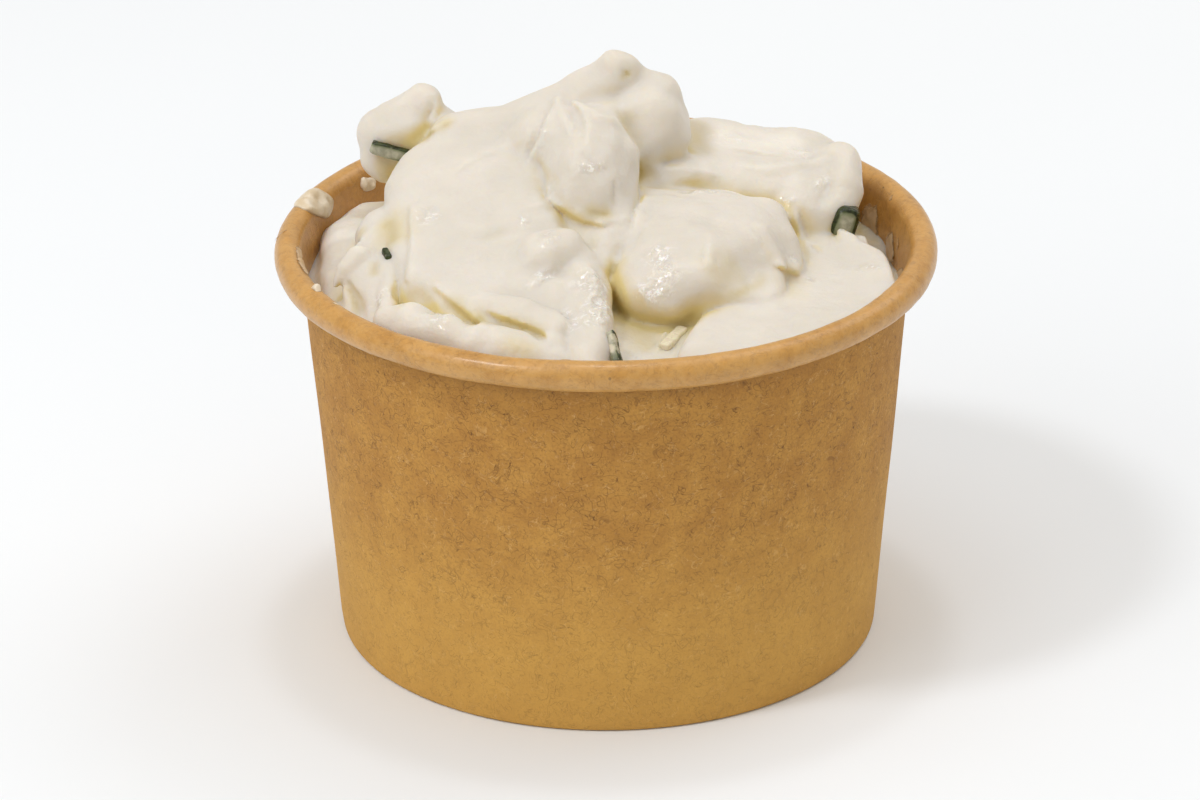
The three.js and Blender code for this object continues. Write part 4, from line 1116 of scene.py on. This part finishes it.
def smear(angle, up, half_length, half_width, turn, thick):
    """A dab on the sheet's inner face, thickest in the middle. Returns its points, faces and cover."""
    path, normal = paper_path()
    travel = lengths_along(path)
    roll_z = TUB_HEIGHT - ROLL_HEIGHT / 2
    roll_start = travel[np.argmin(np.abs(path[:, 1] - roll_z) + (path[:, 0] < BASE_RADIUS))]
    around = np.linspace(0, 2 * math.pi, 48, endpoint=False)
    count = len(around)
    c, s = math.cos(math.radians(turn)), math.sin(math.radians(turn))
    upper, under = np.linspace(0, 1, 12), (0.96, 0.6, 0.3, 0)
    sunk = 0.06
    wobble = 1 + 0.34 * noise(np.stack([np.cos(around), np.sin(around), np.full(count, angle)], 1), 0.9, 61)
    rings = []
    for share, above in [(share, 1) for share in upper] + [(share, 0) for share in under]:
        x = half_length * share * wobble * np.cos(around)
        y = half_width * share * wobble * np.sin(around)
        place = np.stack([x * c - y * s, x * s + y * c, np.full(count, angle)], 1)
        bulge = above * thick * math.sqrt(1 - share ** 2) * (0.8 + 0.6 * noise(place, 1.1, 62))
        off = PAPER / 2 + bulge - sunk
        at = roll_start + up + place[:, 1]
        radius = np.interp(at, travel, path[:, 0]) - np.interp(at, travel, normal[:, 0]) * off
        height = np.interp(at, travel, path[:, 1]) - np.interp(at, travel, normal[:, 1]) * off
        facing = math.radians(angle) + place[:, 0] / radius
        rings.append(np.stack([radius * np.cos(facing), radius * np.sin(facing), height], 1))
    top, bottom = rings[0].mean(axis=0), rings[-1].mean(axis=0)
    points = np.concatenate([*rings[1:-1], [top, bottom]])
    first, last = len(points) - 2, len(points) - 1
    faces = [[first, (i + 1) % count, i] for i in range(count)]
    for low in range(0, (len(rings) - 3) * count, count):
        high = low + count
        faces += [[low + i, low + (i + 1) % count, high + (i + 1) % count, high + i] for i in range(count)]
    low = (len(rings) - 3) * count
    faces += [[last, low + i, low + (i + 1) % count] for i in range(count)]
    cover = np.concatenate([np.repeat(1 - upper[1:] ** 2, count), np.zeros((len(under) - 1) * count), [1, 0]])
    return points, faces, cover


smeared, paint = new_material("smeared yogurt")
cover, body = stored(paint, "cover"), stored(paint, "body")
place = own_place(paint)
patchy = place.noise(0.8, 3.0, shift=17.0)
thick_cream = place.noise(2.0, 3.0).step(0.35, 0.65).mix(rgb(216, 198, 168), rgb(230, 219, 200))
cream = body.step(0.0, 0.5).mix(rgb(192, 152, 100), thick_cream)
hiding = (cover * 1.2 + body + patchy * 1.2 - 0.85).step(0.0, 0.7)
finish_material(paint, cream, 0.35, (patchy, 0.1 * MM), Alpha=hiding)

for label, shape in SMEARS.items():
    smear_points, smear_faces, smear_cover = smear(*shape)
    heaviness = np.full(len(smear_points), min(shape[-1] * 1.4 - 0.3, 0.9))
    smear_marks = {"cover": smear_cover, "body": heaviness}
    new_piece("smear_" + label, smear_points, smear_faces, smeared, smear_marks)


# ---- Floor, light and camera -------------------------------------------------------------------
# A pale, matt sheet on the table, under soft studio light from above and the left. The tub is seen
# through a long lens from a little above.

floor_material, paint = new_material("pale floor")
place = paint.node("TexCoord", {}, {}, out=3)
clouds = place.node("TexNoise", {}, {"Vector": place, "Scale": 3.0})
finish_material(paint, clouds.step(0.3, 0.7).mix(rgb(238, 244, 252), rgb(241, 247, 254)), 0.9)
floor_mesh = bpy.data.meshes.new("floor")
floor_mesh.from_pydata([(-4, -4, 0), (4, -4, 0), (4, 6, 0), (-4, 6, 0)], [], [(0, 1, 2, 3)])
floor_mesh.materials.append(floor_material)
floor = bpy.data.objects.new("floor", floor_mesh)
bpy.context.scene.collection.objects.link(floor)


LAMP_COLOUR = (0.97, 0.98, 1.0)
# Each is (place in metres, width in metres, power in watts).
SOFTBOXES = {
    "key": ((-0.50, -0.34, 0.90), 0.16, 2.25),
    "bank of light": ((-0.66, -0.50, 0.64), 0.7, 1.6),
    "back right": ((0.55, 0.45, 0.85), 0.7, 1.8),
    "overhead lamp": ((0.0, 0.12, 1.10), 0.12, 0.9),
}
LIT_POINT = Vector((0, 0, 0.06))

for label, (stand, width, power) in SOFTBOXES.items():
    light = bpy.data.lights.new(label, "AREA")
    light.shape = "DISK"
    light.size = width
    light.energy = power
    light.color = LAMP_COLOUR
    lamp = bpy.data.objects.new(label, light)
    lamp.location = stand
    lamp.rotation_euler = (LIT_POINT - Vector(stand)).to_track_quat("-Z", "Y").to_euler()
    bpy.context.scene.collection.objects.link(lamp)

sun = bpy.data.lights.new("overhead", "SUN")
sun.angle = math.radians(55)
sun.energy = 0.44
sun.color = LAMP_COLOUR
overhead = bpy.data.objects.new("overhead", sun)
overhead.rotation_euler = Vector((0.05, 0.05, 1.0)).to_track_quat("Z", "Y").to_euler()
bpy.context.scene.collection.objects.link(overhead)
world = bpy.data.worlds.new("studio")
world.use_nodes = True
background = world.node_tree.nodes["Background"].inputs
background["Color"].default_value = (1.0, 0.92, 0.80, 1.0)
background["Strength"].default_value = 0.60
bpy.context.scene.world = world
bpy.context.scene.view_settings.view_transform = "Standard"

# where the camera stands from the middle of the rim's top, in millimetres, square to the view
VIEW_ROLL = math.radians(-0.50)
VIEW_DISTANCE = 886.3
VIEW_ASIDE = -1.07
VIEW_UP = -24.68

forward, upward, sideways = Vector(LOOK_ALONG), Vector(LOOK_UP), Vector(LOOK_ASIDE)
eye = -forward * VIEW_DISTANCE + sideways * VIEW_ASIDE + upward * VIEW_UP + Vector((0, 0, TUB_HEIGHT))
image_right = math.cos(VIEW_ROLL) * sideways + math.sin(VIEW_ROLL) * upward
image_up = math.cos(VIEW_ROLL) * upward - math.sin(VIEW_ROLL) * sideways
lens = bpy.data.cameras.new("camera")
lens.lens = 180.0
lens.sensor_width = 36.0
lens.clip_start = 0.05
camera = bpy.data.objects.new("camera", lens)
turn = Matrix((image_right, image_up, -forward)).transposed()
camera.matrix_world = Matrix.Translation(eye * MM) @ turn.to_4x4()
bpy.context.scene.collection.objects.link(camera)
bpy.context.scene.camera = camera
